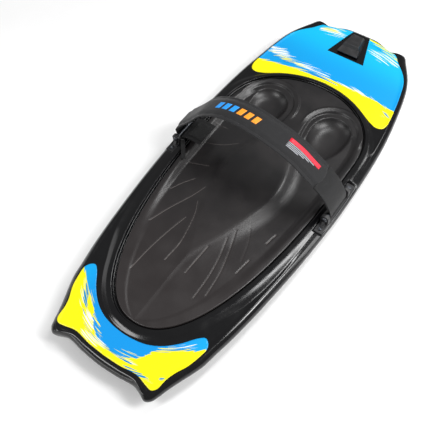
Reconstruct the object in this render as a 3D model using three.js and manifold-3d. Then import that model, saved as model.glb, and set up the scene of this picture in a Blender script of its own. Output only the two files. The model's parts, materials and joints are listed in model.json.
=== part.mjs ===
// A towed kneeboard: a foam-filled polyethylene hull with a knee pad bonded into its deck, a moulded
// tow hook at the nose, and a padded thigh strap that runs between two pivot brackets.
// Millimetres. +Y points to the nose, +X to the rider's right, +Z up. The origin is the middle of
// the bounding box at the height of the surface that the board lies on.
import * as THREE from "three";
import { mergeVertices } from "three/addons/utils/BufferGeometryUtils.js";
import Module from "manifold-3d";

const wasm = await Module();
wasm.setup();

// ---- Driving dimensions ---------------------------------------------------------------------

const GAP = 0.3; // clearance between pieces that touch
const WALL = 4; // hull wall

const DECK = 64; // deck height amidships
const NOSE_DECK_RISE = 25.5; // how far the deck climbs to the nose
const NOSE_DECK_START = 172;
const NOSE_KEEL_RISE = 44; // how far the underside climbs to the nose
const NOSE_KEEL_START = 150;
const TAIL_KEEL_RISE = 9;
const TAIL_KEEL_START = -430;
const HALF_LENGTH = 628;
const SPINE_END = 490; // the rail's cross-section turns round the ends of this centre line

// Right half of the plan outline, from the middle of the tail to the middle of the nose.
const HALF_OUTLINE = [
  [0, -623], [55, -620], [100, -615], [122, -621], [141, -628], [154, -619], [162, -600], [168, -580],
  [175, -560], [184, -537], [194, -512], [203, -485], [210, -447], [218, -407], [229, -337], [238, -262],
  [248, -162], [254.5, -62], [258.5, 38], [256.5, 163], [251.5, 263], [245, 328], [235, 393], [221.5, 463],
  [209, 510], [196, 541], [180, 568], [165, 590], [150, 611], [138, 614], [115, 609], [98, 609],
  [78, 617], [55, 625], [0, 628],
];
const OUTLINE_STEPS = 42; // steps along each half of the outline

// Rail section, from the keel up: how far inside the outline, and at what share of the thickness.
const RAIL = [[60, 0], [40, 0.05], [22, 0.18], [9, 0.4], [1.5, 0.62], [0, 0.78], [2.5, 0.885], [8, 0.965], [17, 1]];

// Knee pad: an egg-shaped EVA sheet, widest forward, in a recess of the deck.
const PAD = { rear: -497, wide: 193, front: 383, half: 212, thick: 9, below: 2.5 };
const PAD_GAP = 1; // groove between the pad's edge and its recess
const WELL = { x: 105, y: 256, radius: 78, depth: 31 };
const ROWS = [0, 0.012, 0.05, 0.11, 0.19, 0.28, 0.38, 0.48, 0.57, 0.65, 0.705, 0.745, 0.785, 0.82, 0.855, 0.89,
  0.925, 0.955, 0.985, 1]; // stations along the pad, closer together at the wells
const COLUMNS = [-1, -0.93, -0.84, -0.68, -0.5, -0.32, -0.18, -0.09, 0, 0.09, 0.18, 0.32, 0.5, 0.68, 0.84, 0.93, 1];

// Strap hardware, the same on both sides.
const BRACKET = { x: 239, y: 43, half: 11.5, seat: 58, base: 4.5, earIn: 46, earThick: 10, foot: 88, screw: 76 };
const PIVOT = { height: 81, bolt: 4, bar: 6, ear: 11 };
const STRAP = { width: 80, pad: 11, web: 5, ring: 2.5, clear: 0.5 };

// Strap centre line, height above the deck, from the left end of the padded cover to the right bar.
const STRAP_LINE = [
  [-247, 35], [-241, 46], [-230, 59], [-213, 78], [-192, 103], [-161, 141], [-136, 160], [-98, 179], [-50, 186.5], [0, 182.5],
  [49, 172.5], [92, 159.5], [124, 145], [153, 124], [183, 102], [213, 77], [231, 52],
];
const STRAP_STEPS = 56; // steps along the strap line
const COVER_END = 0.905; // share of the line's length that the padded cover takes

// ---- Colours --------------------------------------------------------------------------------

const finish = (color, roughness, metalness = 0) => new THREE.MeshStandardMaterial({ color, roughness, metalness });
const GLOSS_HULL = finish("#131316", 0.25);
const FOAM = finish("#e6dcb4", 0.9);
const EVA = finish("#3b393a", 0.75);
const DECAL_BLUE = finish("#0ab4fa", 0.3);
const DECAL_YELLOW = finish("#fff200", 0.3);
const NYLON = finish("#1b1b1d", 0.45);
const STEEL = finish("#d3d5d8", 0.2, 1);
const BRASS = finish("#b8964e", 0.35, 1);
const NEOPRENE = finish("#28282b", 0.8);
const WEBBING = finish("#1a1a1c", 0.85);
const HOOK_TAPE = finish("#111113", 0.95);
const BADGE_BLUE = finish("#1e9bf0", 0.5);
const BADGE_RED = finish("#e4203c", 0.5);

// ---- Small tools ----------------------------------------------------------------------------

const { PI, abs, cos, exp, hypot, max, min, sin } = Math;
const clamp = (v, low, high) => min(high, max(low, v));
const blend = (from, to, v) => {
  const t = clamp((v - from) / (to - from), 0, 1);
  return t * t * (3 - 2 * t);
};

// A closed triangle mesh from positions and triangle corners, with equal points merged.
function closedGeometry(points, corners) {
  const raw = new THREE.BufferGeometry();
  raw.setAttribute("position", new THREE.Float32BufferAttribute(points.flatMap((p) => [p.x, p.y, p.z]), 3));
  raw.setIndex(corners);
  const merged = mergeVertices(raw, 1e-3);
  const index = merged.index.array;
  const kept = [];
  for (let i = 0; i < index.length; i += 3) {
    const [a, b, c] = index.slice(i, i + 3);
    if (a !== b && b !== c && c !== a) kept.push(a, b, c);
  }
  merged.setIndex(kept);
  return merged;
}

// Skins rings of equally many points, each ring closed; the first and last ring are folded flat.
function loft(rings) {
  const count = rings[0].length;
  const corners = [];
  for (let i = 0; i + 1 < rings.length; i++) {
    for (let j = 0; j < count; j++) {
      const a = i * count + j;
      const b = i * count + ((j + 1) % count);
      corners.push(a, b, b + count, a, b + count, a + count);
    }
  }
  return closedGeometry(rings.flat(), corners);
}

function solid(geometry) {
  const shape = geometry.clone();
  shape.deleteAttribute("normal");
  shape.deleteAttribute("uv");
  const merged = mergeVertices(shape, 1e-3);
  return new wasm.Manifold(
    new wasm.Mesh({
      numProp: 3,
      vertProperties: new Float32Array(merged.attributes.position.array),
      triVerts: new Uint32Array(merged.index.array),
    }),
  );
}

function geometryOf(manifold) {
  const mesh = manifold.getMesh();
  const geometry = new THREE.BufferGeometry();
  geometry.setAttribute("position", new THREE.BufferAttribute(mesh.vertProperties, 3));
  geometry.setIndex(new THREE.BufferAttribute(mesh.triVerts, 1));
  return geometry;
}

const box = (x0, x1, y0, y1, z0, z1) =>
  new THREE.BoxGeometry(x1 - x0, y1 - y0, z1 - z0).translate((x0 + x1) / 2, (y0 + y1) / 2, (z0 + z1) / 2);

// A cylinder along Y, about the line x, z.
const rodY = (radius, y0, y1, x, z, sides = 20) =>
  new THREE.CylinderGeometry(radius, radius, y1 - y0, sides).translate(x, (y0 + y1) / 2, z);

// An upright cylinder.
const rodZ = (radius, z0, z1, x, y, sides = 16) =>
  new THREE.CylinderGeometry(radius, radius, z1 - z0, sides).rotateX(PI / 2).translate(x, y, (z0 + z1) / 2);

const shapeOf = (points) => new THREE.Shape(points.map(([x, y]) => new THREE.Vector2(x, y)));

const prismZ = (points, z0, z1) =>
  new THREE.ExtrudeGeometry(shapeOf(points), { depth: z1 - z0, bevelEnabled: false }).translate(0, 0, z0);

// Points are (x, z), and the prism runs along Y.
const prismY = (points, y0, y1) =>
  new THREE.ExtrudeGeometry(shapeOf(points), { depth: y1 - y0, bevelEnabled: false }).rotateX(PI / 2).translate(0, y1, 0);

// Points are (y, z), and the prism runs along X.
const prismX = (points, x0, x1) =>
  new THREE.ExtrudeGeometry(shapeOf(points), { depth: x1 - x0, bevelEnabled: false })
    .applyMatrix4(new THREE.Matrix4().set(0, 0, 1, x0, 1, 0, 0, 0, 0, 1, 0, 0, 0, 0, 0, 1));

const smoothLine = (points, steps) =>
  new THREE.CatmullRomCurve3(points.map(([x, y]) => new THREE.Vector3(x, y, 0)), false, "centripetal")
    .getSpacedPoints(steps)
    .map((p) => [p.x, p.y]);

// A line moved sideways, to the left of its own direction.
const beside = (line, distance) =>
  line.map(([x, y], i) => {
    const [x0, y0] = line[max(0, i - 1)];
    const [x1, y1] = line[min(line.length - 1, i + 1)];
    const length = hypot(x1 - x0, y1 - y0);
    return [x - ((y1 - y0) / length) * distance, y + ((x1 - x0) / length) * distance];
  });

// The outline of a band of even thickness along a line.
const band = (line, thickness) => [...beside(line, thickness / 2), ...beside(line, -thickness / 2).reverse()];

// ---- Board surfaces -------------------------------------------------------------------------

const deckHeight = (y) => DECK + NOSE_DECK_RISE * max(0, (y - NOSE_DECK_START) / (HALF_LENGTH - NOSE_DECK_START)) ** 2;

const keelHeight = (y) =>
  NOSE_KEEL_RISE * max(0, (y - NOSE_KEEL_START) / (HALF_LENGTH - NOSE_KEEL_START)) ** 2 +
  TAIL_KEEL_RISE * max(0, (TAIL_KEEL_START - y) / (HALF_LENGTH + TAIL_KEEL_START)) ** 2;

// The tail's points are stretched a little, so that its lobes reach exactly as far as the nose does.
const sampled = smoothLine(HALF_OUTLINE, OUTLINE_STEPS);
const tailReach = -min(...sampled.map(([, y]) => y));
const rightHalf = sampled.map(([x, y]) => [x, y < 0 ? (y * HALF_LENGTH) / tailReach : y]);
const outline = [...rightHalf, ...rightHalf.slice(1, -1).reverse().map(([x, y]) => [-x, y])];

// The outline moved inwards, towards the spine, by a length or by a share of the way.
function inset(length, share = 0) {
  return outline.map(([x, y]) => {
    const spine = clamp(y, -SPINE_END, SPINE_END);
    const reach = hypot(x, y - spine);
    const left = (1 - share) * (1 - min(1, length / reach));
    return [x * left, spine + (y - spine) * left];
  });
}

// The board's closed outer surface, or one that lies evenly inside it by depth.
function boardGeometry(depth) {
  const ring = (points, level) =>
    points.map(([x, y]) => {
      const low = keelHeight(y) + depth;
      const high = deckHeight(y) - depth;
      return new THREE.Vector3(x, y, low + (high - low) * level);
    });
  const [keel, deck] = [RAIL[0], RAIL[RAIL.length - 1]];
  const rail = depth > 0 ? RAIL.filter((_, i) => i % 2 === 0) : RAIL;
  return loft([
    ring(inset(0, 1), 0),
    ring(inset(keel[0] + depth, 0.5), 0),
    ...rail.map(([inside, level]) => ring(inset(inside + depth), level)),
    ring(inset(deck[0] + depth, 0.4), 1),
    ring(inset(deck[0] + depth, 0.75), 1),
    ring(inset(0, 1), 1),
  ]);
}

// A skin over the flat of the deck, from low to high above it, cut to a plan shape.
function deckSkin(points, low, high) {
  const [inside] = RAIL[RAIL.length - 1];
  const rows = [0, 0.4, 0.75, 1].map((share) => (share < 1 ? inset(inside, share) : inset(0, 1)));
  const lift = (row, height) => row.map(([x, y]) => new THREE.Vector3(x, y, deckHeight(y) + height));
  const skin = loft([...[...rows].reverse().map((r) => lift(r, low)), ...rows.map((r) => lift(r, high))]);
  return geometryOf(solid(skin).intersect(solid(prismZ(points, 0, DECK * 3))));
}

// ---- Knee pad -------------------------------------------------------------------------------

// Half width of the pad: one blunt oval aft of its widest station and a rounder one forward.
function padHalfWidth(y) {
  const aft = y < PAD.wide;
  const t = abs(y - PAD.wide) / (aft ? PAD.wide - PAD.rear : PAD.front - PAD.wide);
  const [power, root] = aft ? [2.5, 2.2] : [2.2, 2.1];
  return PAD.half * max(0, 1 - t ** power) ** (1 / root);
}

// Half width of the raised island between the shins: a leaf that narrows to a point aft.
const islandHalfWidth = (y) => 90 * exp(-(((y + 2) / (y > -2 ? 190 : 230)) ** 2)) * blend(-345, -180, y);

// Depth of the shin channels, deepest at the knees.
const channelDepth = (y) => 3 + 15 * blend(-420, 60, y) * (1 - blend(250, 345, y));

function padTop(x, y) {
  const side = abs(x);
  const edge = blend(8, 46, padHalfWidth(y) - side);
  const island = islandHalfWidth(y);
  const channel = channelDepth(y) * edge * blend(island - 8, island + 26, side);
  const reach = hypot(side - WELL.x, y - WELL.y) / WELL.radius;
  const bowl = WELL.depth * max(0, 1 - reach ** 3) ** 0.75;
  return DECK + max(0, deckHeight(y) - DECK) - PAD.below - max(channel, bowl);
}

// The pad as a closed solid. Grown, and with an open top, it is the tool that cuts its recess.
function padGeometry(grow, drop, top) {
  const rings = ROWS.map((share) => {
    const y = PAD.rear + (PAD.front - PAD.rear) * share;
    const placed = (PAD.rear + PAD.front) / 2 + (y - (PAD.rear + PAD.front) / 2) * (1 + (2 * grow) / (PAD.front - PAD.rear));
    const reach = share > 0 && share < 1 ? padHalfWidth(y) : 0;
    const points = COLUMNS.map((u) => [u * (reach > 0 ? reach + grow : 0), padTop(u * reach, y)]);
    const upper = points.map(([x, z]) => new THREE.Vector3(x, placed, top ?? z));
    const lower = points.map(([x, z]) => new THREE.Vector3(x, placed, z - PAD.thick - drop));
    return [...upper, ...lower.reverse()];
  });
  return loft(rings);
}

// ---- Decals ---------------------------------------------------------------------------------

const DECAL_LIFT = 0.3;
const DECAL_THICK = 0.5;

// Right half of the tail decal, from the middle of its aft edge round the wing to its inner arc.
const TAIL_DECAL = [
  [0, -610], [46, -608], [94, -601], [128, -607], [145, -606], [153, -595], [156, -565], [163, -542], [178, -511],
  [188, -472], [190, -455], [184, -441], [172, -434], [158, -444], [130, -479], [98, -508], [65, -525], [28, -533], [0, -535],
];

// Right half of the nose decal, from the corner of the hook's cut-out round to the aft arc.
const NOSE_DECAL = [
  [57, 611], [107, 600], [128, 593], [146, 573], [162, 558], [180, 537], [194, 512], [205, 474], [217, 415],
  [224, 352], [218, 339], [202, 334], [182, 340], [152, 356], [107, 379], [54, 395], [0, 401],
];
const CUT_OUT = { front: 615, aft: 515, frontHalf: 28, aftHalf: 61 };

const mirrored = (points) => points.map(([x, y]) => [-x, y]).reverse();

const tailHalf = smoothLine(TAIL_DECAL, 34);
const tailOutline = [...tailHalf, ...mirrored(tailHalf).slice(1, -1)];

const noseHalf = smoothLine(NOSE_DECAL, 30);
const noseOutline = [
  [CUT_OUT.aftHalf, CUT_OUT.aft], [CUT_OUT.frontHalf, CUT_OUT.front], ...noseHalf,
  ...mirrored(noseHalf).slice(1), [-CUT_OUT.frontHalf, CUT_OUT.front], [-CUT_OUT.aftHalf, CUT_OUT.aft],
];

// ---- Tow hook -------------------------------------------------------------------------------

// A wedge on a sunk base plate. The handle's bar hooks under the lip of its aft face.
const HOOK = { y: 565, sink: 6, plate: 4.5, crest: 23, crestY: -12, lipY: -39, lip: 13, lipThick: 3.5, slot: 15 };
const hookPlate = (grow) => [
  [-(CUT_OUT.aftHalf - 4 + grow), -46 - grow], [CUT_OUT.aftHalf - 4 + grow, -46 - grow],
  [CUT_OUT.frontHalf - 3 + grow, 48 + grow], [-(CUT_OUT.frontHalf - 3 + grow), 48 + grow],
];
const slope = (deckHeight(HOOK.y + 1) - deckHeight(HOOK.y - 1)) / 2;
const hookPlace = new THREE.Matrix4()
  .makeTranslation(0, HOOK.y, deckHeight(HOOK.y))
  .multiply(new THREE.Matrix4().makeRotationX(Math.atan(slope)));

function towHook() {
  const floor = HOOK.plate - HOOK.sink;
  const plate = solid(prismZ(hookPlate(0), -HOOK.sink, floor));
  const side = [
    [44, floor - 1], [44, 1], [HOOK.crestY, HOOK.crest], [HOOK.lipY, HOOK.lip], [HOOK.lipY, HOOK.lip - HOOK.lipThick],
    [HOOK.lipY + HOOK.slot, HOOK.lip - HOOK.lipThick - 1.5], [HOOK.lipY + HOOK.slot + 2, floor - 1],
  ];
  const plan = [[-41, -40], [41, -40], [20, 45], [-20, 45]];
  const wedge = solid(prismX(side, -60, 60)).intersect(solid(prismZ(plan, -HOOK.sink, 40)));
  return geometryOf(plate.add(wedge)).applyMatrix4(hookPlace);
}

// ---- Strap brackets -------------------------------------------------------------------------

const baseLow = BRACKET.seat + GAP;
const baseTop = baseLow + BRACKET.base;

function bracketGeometry(x) {
  const { half, earIn, earThick, foot, y } = BRACKET;
  let body = solid(box(x - half, x + half, y - foot, y + foot, baseLow, baseTop));
  for (const way of [-1, 1]) {
    const inner = y + way * earIn;
    const outer = y + way * (earIn + earThick);
    const [y0, y1] = [min(inner, outer), max(inner, outer)];
    const sides = [[x - half, baseTop - 1], [x + half, baseTop - 1]];
    for (let i = 0; i <= 10; i++) {
      const turn = (PI * i) / 10;
      sides.push([x + half * cos(turn), PIVOT.height + PIVOT.ear * sin(turn)]);
    }
    body = body.add(solid(prismY(sides, y0, y1)));
    body = body.subtract(solid(rodY(PIVOT.bolt + GAP, y0 - 1, y1 + 1, x, PIVOT.height)));
    body = body.subtract(solid(rodZ(3 + GAP, baseLow - 1, baseTop + 1, x, y + way * BRACKET.screw)));
  }
  return geometryOf(body);
}

// A lathe profile of (radius, height) points, turned about Z.
const turned = (profile, sides = 20) =>
  new THREE.LatheGeometry(profile.map(([r, h]) => new THREE.Vector2(r, h)), sides).rotateX(PI / 2);

// Bolt with a low domed head. The shank points along +Z before it is placed.
function pivotBolt(x) {
  const { earIn, earThick, y } = BRACKET;
  const reach = earIn + earThick;
  const head = turned([[0, -5], [4, -4.6], [6.6, -3], [7.5, 0], [PIVOT.bolt, 0], [PIVOT.bolt, 2 * reach + 8], [0, 2 * reach + 8]]);
  return head.rotateX(-PI / 2).translate(x, y - reach - GAP, PIVOT.height);
}

// The nut runs on the bolt's end, with thread clearance.
function pivotNut(x) {
  const { earIn, earThick, y } = BRACKET;
  const start = y + earIn + earThick + GAP;
  const nut = solid(rodY(7, start, start + 6.5, x, PIVOT.height, 6));
  return geometryOf(nut.subtract(solid(rodY(PIVOT.bolt + 0.1, start - 1, start + 8, x, PIVOT.height))));
}

function strapBar(x) {
  const { earIn, y } = BRACKET;
  const tube = solid(rodY(PIVOT.bar, y - earIn + GAP, y + earIn - GAP, x, PIVOT.height));
  return geometryOf(tube.subtract(solid(rodY(PIVOT.bolt + GAP, y - earIn, y + earIn, x, PIVOT.height))));
}

const SCREW = { shank: 3, head: 5.6, length: 26 };
const INSERT = { radius: 6, length: 22 };

const baseScrew = (x, y) =>
  turned([
    [0, baseTop - SCREW.length], [SCREW.shank, baseTop - SCREW.length], [SCREW.shank, baseTop + GAP],
    [SCREW.head, baseTop + GAP], [SCREW.head - 0.8, baseTop + 2.2], [SCREW.head - 3, baseTop + 3.4], [0, baseTop + 3.6],
  ], 16).translate(x, y, 0);

// Threaded insert moulded into the hull under each screw.
function screwInsert(x, y) {
  const top = BRACKET.seat - GAP;
  const sleeve = solid(rodZ(INSERT.radius, top - INSERT.length, top, x, y));
  const bore = solid(rodZ(SCREW.shank + 0.1, baseTop - SCREW.length - 1, top + 1, x, y));
  return geometryOf(sleeve.subtract(bore));
}

// ---- Strap ----------------------------------------------------------------------------------

const strapLow = BRACKET.y - STRAP.width / 2;
const strapHigh = BRACKET.y + STRAP.width / 2;
const strapLine = smoothLine(STRAP_LINE, STRAP_STEPS).map(([x, h]) => [x, DECK + h]);
const coverEnd = Math.round(STRAP_STEPS * COVER_END);
const ringInner = PIVOT.bar + STRAP.clear;
const ringMiddle = ringInner + STRAP.ring / 2;

// Points round a bar at x, from one angle to another in degrees, 0 pointing to +X.
const arc = (x, radius, from, to, steps) =>
  Array.from({ length: steps + 1 }, (_, i) => {
    const turn = ((from + ((to - from) * i) / steps) * PI) / 180;
    return [x + radius * cos(turn), PIVOT.height + radius * sin(turn)];
  });

const strapCover = () => prismY(band(strapLine.slice(0, coverEnd + 1), STRAP.pad), strapLow, strapHigh);

// A thin patch on one face of the cover, between two stations of the strap line.
function coverPatch(from, to, side, thickness, y0, y1) {
  const middle = side * (STRAP.pad / 2 + GAP + thickness / 2);
  return prismY(band(beside(strapLine, middle).slice(from, to + 1), thickness), y0, y1);
}

// Webbing sewn into a loop round the right bar, and doubled up to the end of the cover.
function rightWebbing() {
  const x = BRACKET.x;
  const ring = solid(rodY(ringInner + STRAP.ring, strapLow, strapHigh, x, PIVOT.height, 28));
  const [start, second, ...rest] = strapLine.slice(coverEnd);
  const reach = hypot(second[0] - start[0], second[1] - start[1]);
  const first = [0, 1].map((k) => start[k] + ((second[k] - start[k]) / reach) * 2 * GAP);
  const leg = smoothLine([first, second, ...rest, [x + 1, PIVOT.height + ringMiddle + 6], [x + 2, PIVOT.height]], 12);
  const legs = solid(prismY(band(leg, STRAP.web), strapLow, strapHigh));
  const bore = solid(rodY(ringInner, strapLow - 1, strapHigh + 1, x, PIVOT.height, 28));
  return geometryOf(ring.add(legs).subtract(bore));
}

// Webbing under the left bar, and up its outer side to the end of the cover.
function leftWebbing() {
  const x = -BRACKET.x;
  const turn = arc(x, ringMiddle + GAP, 180, 340, 12);
  return prismY(band([[x - ringMiddle - 1, PIVOT.height + 11], ...turn], STRAP.ring), strapLow, strapHigh);
}

// Free end of the strap: it comes from the left bar and hangs inside the arch.
const tailLine = smoothLine([[-228, 80], [-212, 84], [-192, 86], [-168, 84]], 10);
const strapTail = () => prismY(band(tailLine, STRAP.ring), strapLow, strapHigh);
const hookTape = () => prismY(band(beside(tailLine, STRAP.ring / 2 + GAP + 0.8).slice(3, 10), 1.6), strapLow + 12, strapHigh - 12);

// Narrow pull tab that lies over the rim of the pad.
const TAB = { from: [-222, -2, 76], turn: -52, length: 58, drop: 11, width: 12, thick: 2.5 };
function pullTab() {
  const line = [[0, 0], [TAB.length * 0.3, 1], [TAB.length * 0.7, -TAB.drop * 0.6], [TAB.length, -TAB.drop]];
  return prismY(band(smoothLine(line, 8), TAB.thick), -TAB.width / 2, TAB.width / 2)
    .rotateZ((TAB.turn * PI) / 180)
    .translate(...TAB.from);
}

// ---- Assembly -------------------------------------------------------------------------------

const board = new THREE.Group();

function add(name, geometry, material, parent = board) {
  const flat = geometry.index ? geometry.toNonIndexed() : geometry;
  flat.computeVertexNormals();
  const mesh = new THREE.Mesh(flat, material);
  mesh.name = name;
  parent.add(mesh);
}

// Foam is poured through a hole in the underside, which a plug then closes.
const PLUG = { y: -400, hole: 12, head: 17, headThick: 2.2, sunk: 0.4 };
const sides = [["left", -1], ["right", 1]];
const ends = [["aft", -1], ["fore", 1]];

const padTool = (grow, drop) => solid(padGeometry(grow, drop, DECK * 2));
const hookPocket = (grow) =>
  solid(prismZ(hookPlate(grow), -HOOK.sink - grow, DECK).applyMatrix4(hookPlace));
const seatTool = (x, grow) => {
  const { half, foot, seat, y } = BRACKET;
  return solid(box(x - half - grow, x + half + grow, y - foot - grow, y + foot + grow, seat - grow + GAP, DECK * 2));
};
const insertTool = (x, y, grow) =>
  solid(rodZ(INSERT.radius + grow, BRACKET.seat - INSERT.length - 2 * GAP - grow, DECK * 2, x, y));

let hull = solid(boardGeometry(0));
let cavity = solid(boardGeometry(WALL));
let foam = solid(boardGeometry(WALL + 2 * GAP));
const plugBore = solid(rodZ(PLUG.hole + GAP, -1, WALL + 1, 0, PLUG.y, 24));
const plugSeat = solid(rodZ(PLUG.head + GAP, -1, PLUG.sunk + PLUG.headThick + GAP, 0, PLUG.y, 24));
const fillPlug = () =>
  turned([
    [0, PLUG.sunk], [PLUG.head, PLUG.sunk], [PLUG.head, PLUG.sunk + PLUG.headThick],
    [PLUG.hole, PLUG.sunk + PLUG.headThick], [PLUG.hole, WALL + GAP], [0, WALL + GAP],
  ], 24).translate(0, PLUG.y, 0);
const skinned = (grow) => [
  padTool(PAD_GAP + grow, GAP + grow),
  hookPocket(GAP + grow),
  ...sides.flatMap(([, way]) => [
    seatTool(way * BRACKET.x, GAP + grow),
    ...ends.map(([, end]) => insertTool(way * BRACKET.x, BRACKET.y + end * BRACKET.screw, GAP + grow)),
  ]),
];
skinned(WALL).forEach((tool) => (cavity = cavity.subtract(tool)));
skinned(WALL + 2 * GAP).forEach((tool) => (foam = foam.subtract(tool)));
skinned(0).forEach((tool) => (hull = hull.subtract(tool)));
hull = hull.subtract(cavity).subtract(plugBore).subtract(plugSeat);

add("hull_shell", geometryOf(hull), GLOSS_HULL);
add("foam_core", geometryOf(foam), FOAM);
add("fill_plug", fillPlug(), NYLON);
add("knee_pad", padGeometry(0, 0), EVA);
add("nose_decal", deckSkin(noseOutline, DECAL_LIFT, DECAL_LIFT + DECAL_THICK), DECAL_BLUE);
add("tail_decal", deckSkin(tailOutline, DECAL_LIFT, DECAL_LIFT + DECAL_THICK), DECAL_YELLOW);
add("tow_hook", towHook(), NYLON);

for (const [side, way] of sides) {
  const x = way * BRACKET.x;
  add(`strap_bracket_${side}`, bracketGeometry(x), NYLON);
  add(`pivot_bolt_${side}`, pivotBolt(x), STEEL);
  add(`pivot_nut_${side}`, pivotNut(x), STEEL);
  add(`strap_bar_${side}`, strapBar(x), STEEL);
  for (const [end, along] of ends) {
    const y = BRACKET.y + along * BRACKET.screw;
    add(`bracket_screw_${side}_${end}`, baseScrew(x, y), STEEL);
    add(`screw_insert_${side}_${end}`, screwInsert(x, y), BRASS);
  }
}

add("strap_cover", strapCover(), NEOPRENE);
add("strap_webbing_right", rightWebbing(), WEBBING);
add("strap_webbing_left", leftWebbing(), WEBBING);
add("strap_tail", strapTail(), WEBBING);
add("hook_tape", hookTape(), HOOK_TAPE);
add("loop_tape", coverPatch(4, 10, -1, 1.6, strapLow + 12, strapHigh - 12), HOOK_TAPE);
add("pull_tab", pullTab(), WEBBING);
add("strap_badge_left", coverPatch(17, 29, 1, 0.6, BRACKET.y - 12, BRACKET.y + 12), BADGE_BLUE);
add("strap_badge_right", coverPatch(39, 49, 1, 0.6, BRACKET.y - 14, BRACKET.y + 16), BADGE_RED);

export default board;
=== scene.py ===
"""A towed kneeboard with a moulded knee pad, printed decals, a tow hook and a padded thigh strap.

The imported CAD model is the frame; this script gives it its looks. Sizes in the classes are in
millimetres and meshes are made in metres. +Y points to the nose, +X to the rider's right, +Z up.
"""

from __future__ import annotations

import json
import logging
import math
from dataclasses import dataclass, field
from enum import Enum

import bmesh
import bpy
import numpy as np
from bpy.types import Material, NodeSocket, NodeTree, Object
from mathutils import Matrix, Vector
from mathutils.geometry import delaunay_2d_cdt

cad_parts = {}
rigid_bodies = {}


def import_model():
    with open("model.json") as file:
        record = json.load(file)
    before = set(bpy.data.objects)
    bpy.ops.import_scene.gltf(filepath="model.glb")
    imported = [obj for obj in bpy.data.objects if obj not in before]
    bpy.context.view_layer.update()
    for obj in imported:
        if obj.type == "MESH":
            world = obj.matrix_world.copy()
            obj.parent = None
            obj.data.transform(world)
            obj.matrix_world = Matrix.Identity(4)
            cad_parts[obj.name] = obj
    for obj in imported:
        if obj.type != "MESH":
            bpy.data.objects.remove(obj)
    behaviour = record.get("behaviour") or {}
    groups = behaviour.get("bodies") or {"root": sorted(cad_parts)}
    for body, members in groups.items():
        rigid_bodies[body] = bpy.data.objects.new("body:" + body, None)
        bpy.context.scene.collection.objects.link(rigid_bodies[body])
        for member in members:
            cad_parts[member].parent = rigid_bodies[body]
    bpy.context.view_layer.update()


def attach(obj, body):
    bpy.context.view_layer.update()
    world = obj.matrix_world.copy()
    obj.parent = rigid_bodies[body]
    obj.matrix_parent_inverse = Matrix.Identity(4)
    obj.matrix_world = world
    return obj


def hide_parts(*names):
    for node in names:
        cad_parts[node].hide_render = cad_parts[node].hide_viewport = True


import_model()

MM = 0.001
LOG = logging.getLogger("kneeboard")
Pair = tuple[float, float]
Line = list[Pair]
Array = np.ndarray


class Body(Enum):
    """The bodies that pieces ride on."""

    BOARD = "board"
    STRAP = "strap"
    TAIL = "tail"


class Side(Enum):
    """The two sides of the board, each with the sign of its x."""

    LEFT = -1
    RIGHT = 1

    @property
    def word(self) -> str:
        """The side's name as the nodes spell it."""
        return self.name.lower()


# ---- Curves and distances -------------------------------------------------------------------


def ease(low: float, high: float, value: Array) -> Array:
    """Cubic step from 0 at low to 1 at high: 3t^2 - 2t^3, where t is the share of the way."""
    t = np.clip((value - low) / (high - low), 0.0, 1.0)
    return t * t * (3.0 - 2.0 * t)


def soft_max(a: Array, b: Array | float, width: float) -> Array:
    """The larger of two surfaces with the crease between them rounded: w ln(e^(a/w) + e^(b/w))."""
    return width * np.logaddexp(a / width, b / width)


def respaced(line: Array, count: int, closed: bool = False) -> Array:
    """Points at even spacing along a line.

    Args:
        line: the points of the line, one per row.
        count: how many points to return.
        closed: whether the line ends where it starts, so that the last point is left out.

    Returns:
        The new points, one per row.
    """
    steps = np.linalg.norm(np.diff(line, axis=0), axis=1)
    along = np.concatenate([[0.0], np.cumsum(steps)])
    wanted = np.linspace(0.0, along[-1], count + closed)[:count]
    return np.stack([np.interp(wanted, along, column) for column in line.T], axis=1)


def smooth_curve(points: Line, count: int, closed: bool = False) -> Array:
    """A centripetal Catmull-Rom curve: cubics whose tangents weigh each gap by its root length.

    Args:
        points: the points that the curve passes through.
        count: how many evenly spaced points to return.
        closed: whether the curve joins its last point to its first.

    Returns:
        The points on the curve, one per row.
    """
    p = np.asarray(points, float)
    if closed:
        before, start, end, after = (np.roll(p, k, axis=0) for k in (1, 0, -1, -2))
    else:
        longer = np.vstack([2 * p[0] - p[1], p, 2 * p[-1] - p[-2]])
        before, start, end, after = longer[:-3], longer[1:-2], longer[2:-1], longer[3:]
    gap = [
        np.sqrt(np.linalg.norm(b - a, axis=1, keepdims=True))
        for a, b in ((before, start), (start, end), (end, after))
    ]
    out = gap[1] * ((start - before) / gap[0] - (end - before) / (gap[0] + gap[1])) + (end - start)
    into = gap[1] * ((after - end) / gap[2] - (after - start) / (gap[1] + gap[2])) + (end - start)
    t = np.linspace(0.0, 1.0, 24, endpoint=False)[None, :, None]
    dense = (
        start[:, None] * (2 * t**3 - 3 * t**2 + 1)
        + out[:, None] * (t**3 - 2 * t**2 + t)
        + end[:, None] * (3 * t**2 - 2 * t**3)
        + into[:, None] * (t**3 - t**2)
    )
    last = p[:1] if closed else p[-1:]
    return respaced(np.vstack([dense.reshape(-1, p.shape[1]), last]), count, closed)


def distance_to(line: Array, x: Array, y: Array) -> Array:
    """Distance from each point to the nearest part of a line, segment by segment.

    Args:
        line: the line's points, one per row; a closed line repeats its first point.
        x: the points' x.
        y: the points' y, of the same shape.

    Returns:
        The distances, in the shape of x.
    """
    flat = np.stack([x.ravel(), y.ravel()], axis=1)
    start, step = line[:-1], np.diff(line, axis=0)
    size = np.maximum((step**2).sum(axis=1), 1e-9)
    nearest = np.empty(len(flat))
    for low in range(0, len(flat), 4000):
        away = flat[low : low + 4000, None] - start[None]
        share = np.clip((away * step).sum(axis=2) / size, 0.0, 1.0)
        off = away - share[..., None] * step
        nearest[low : low + 4000] = np.sqrt((off**2).sum(axis=2).min(axis=1))
    return nearest.reshape(x.shape)


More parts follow.
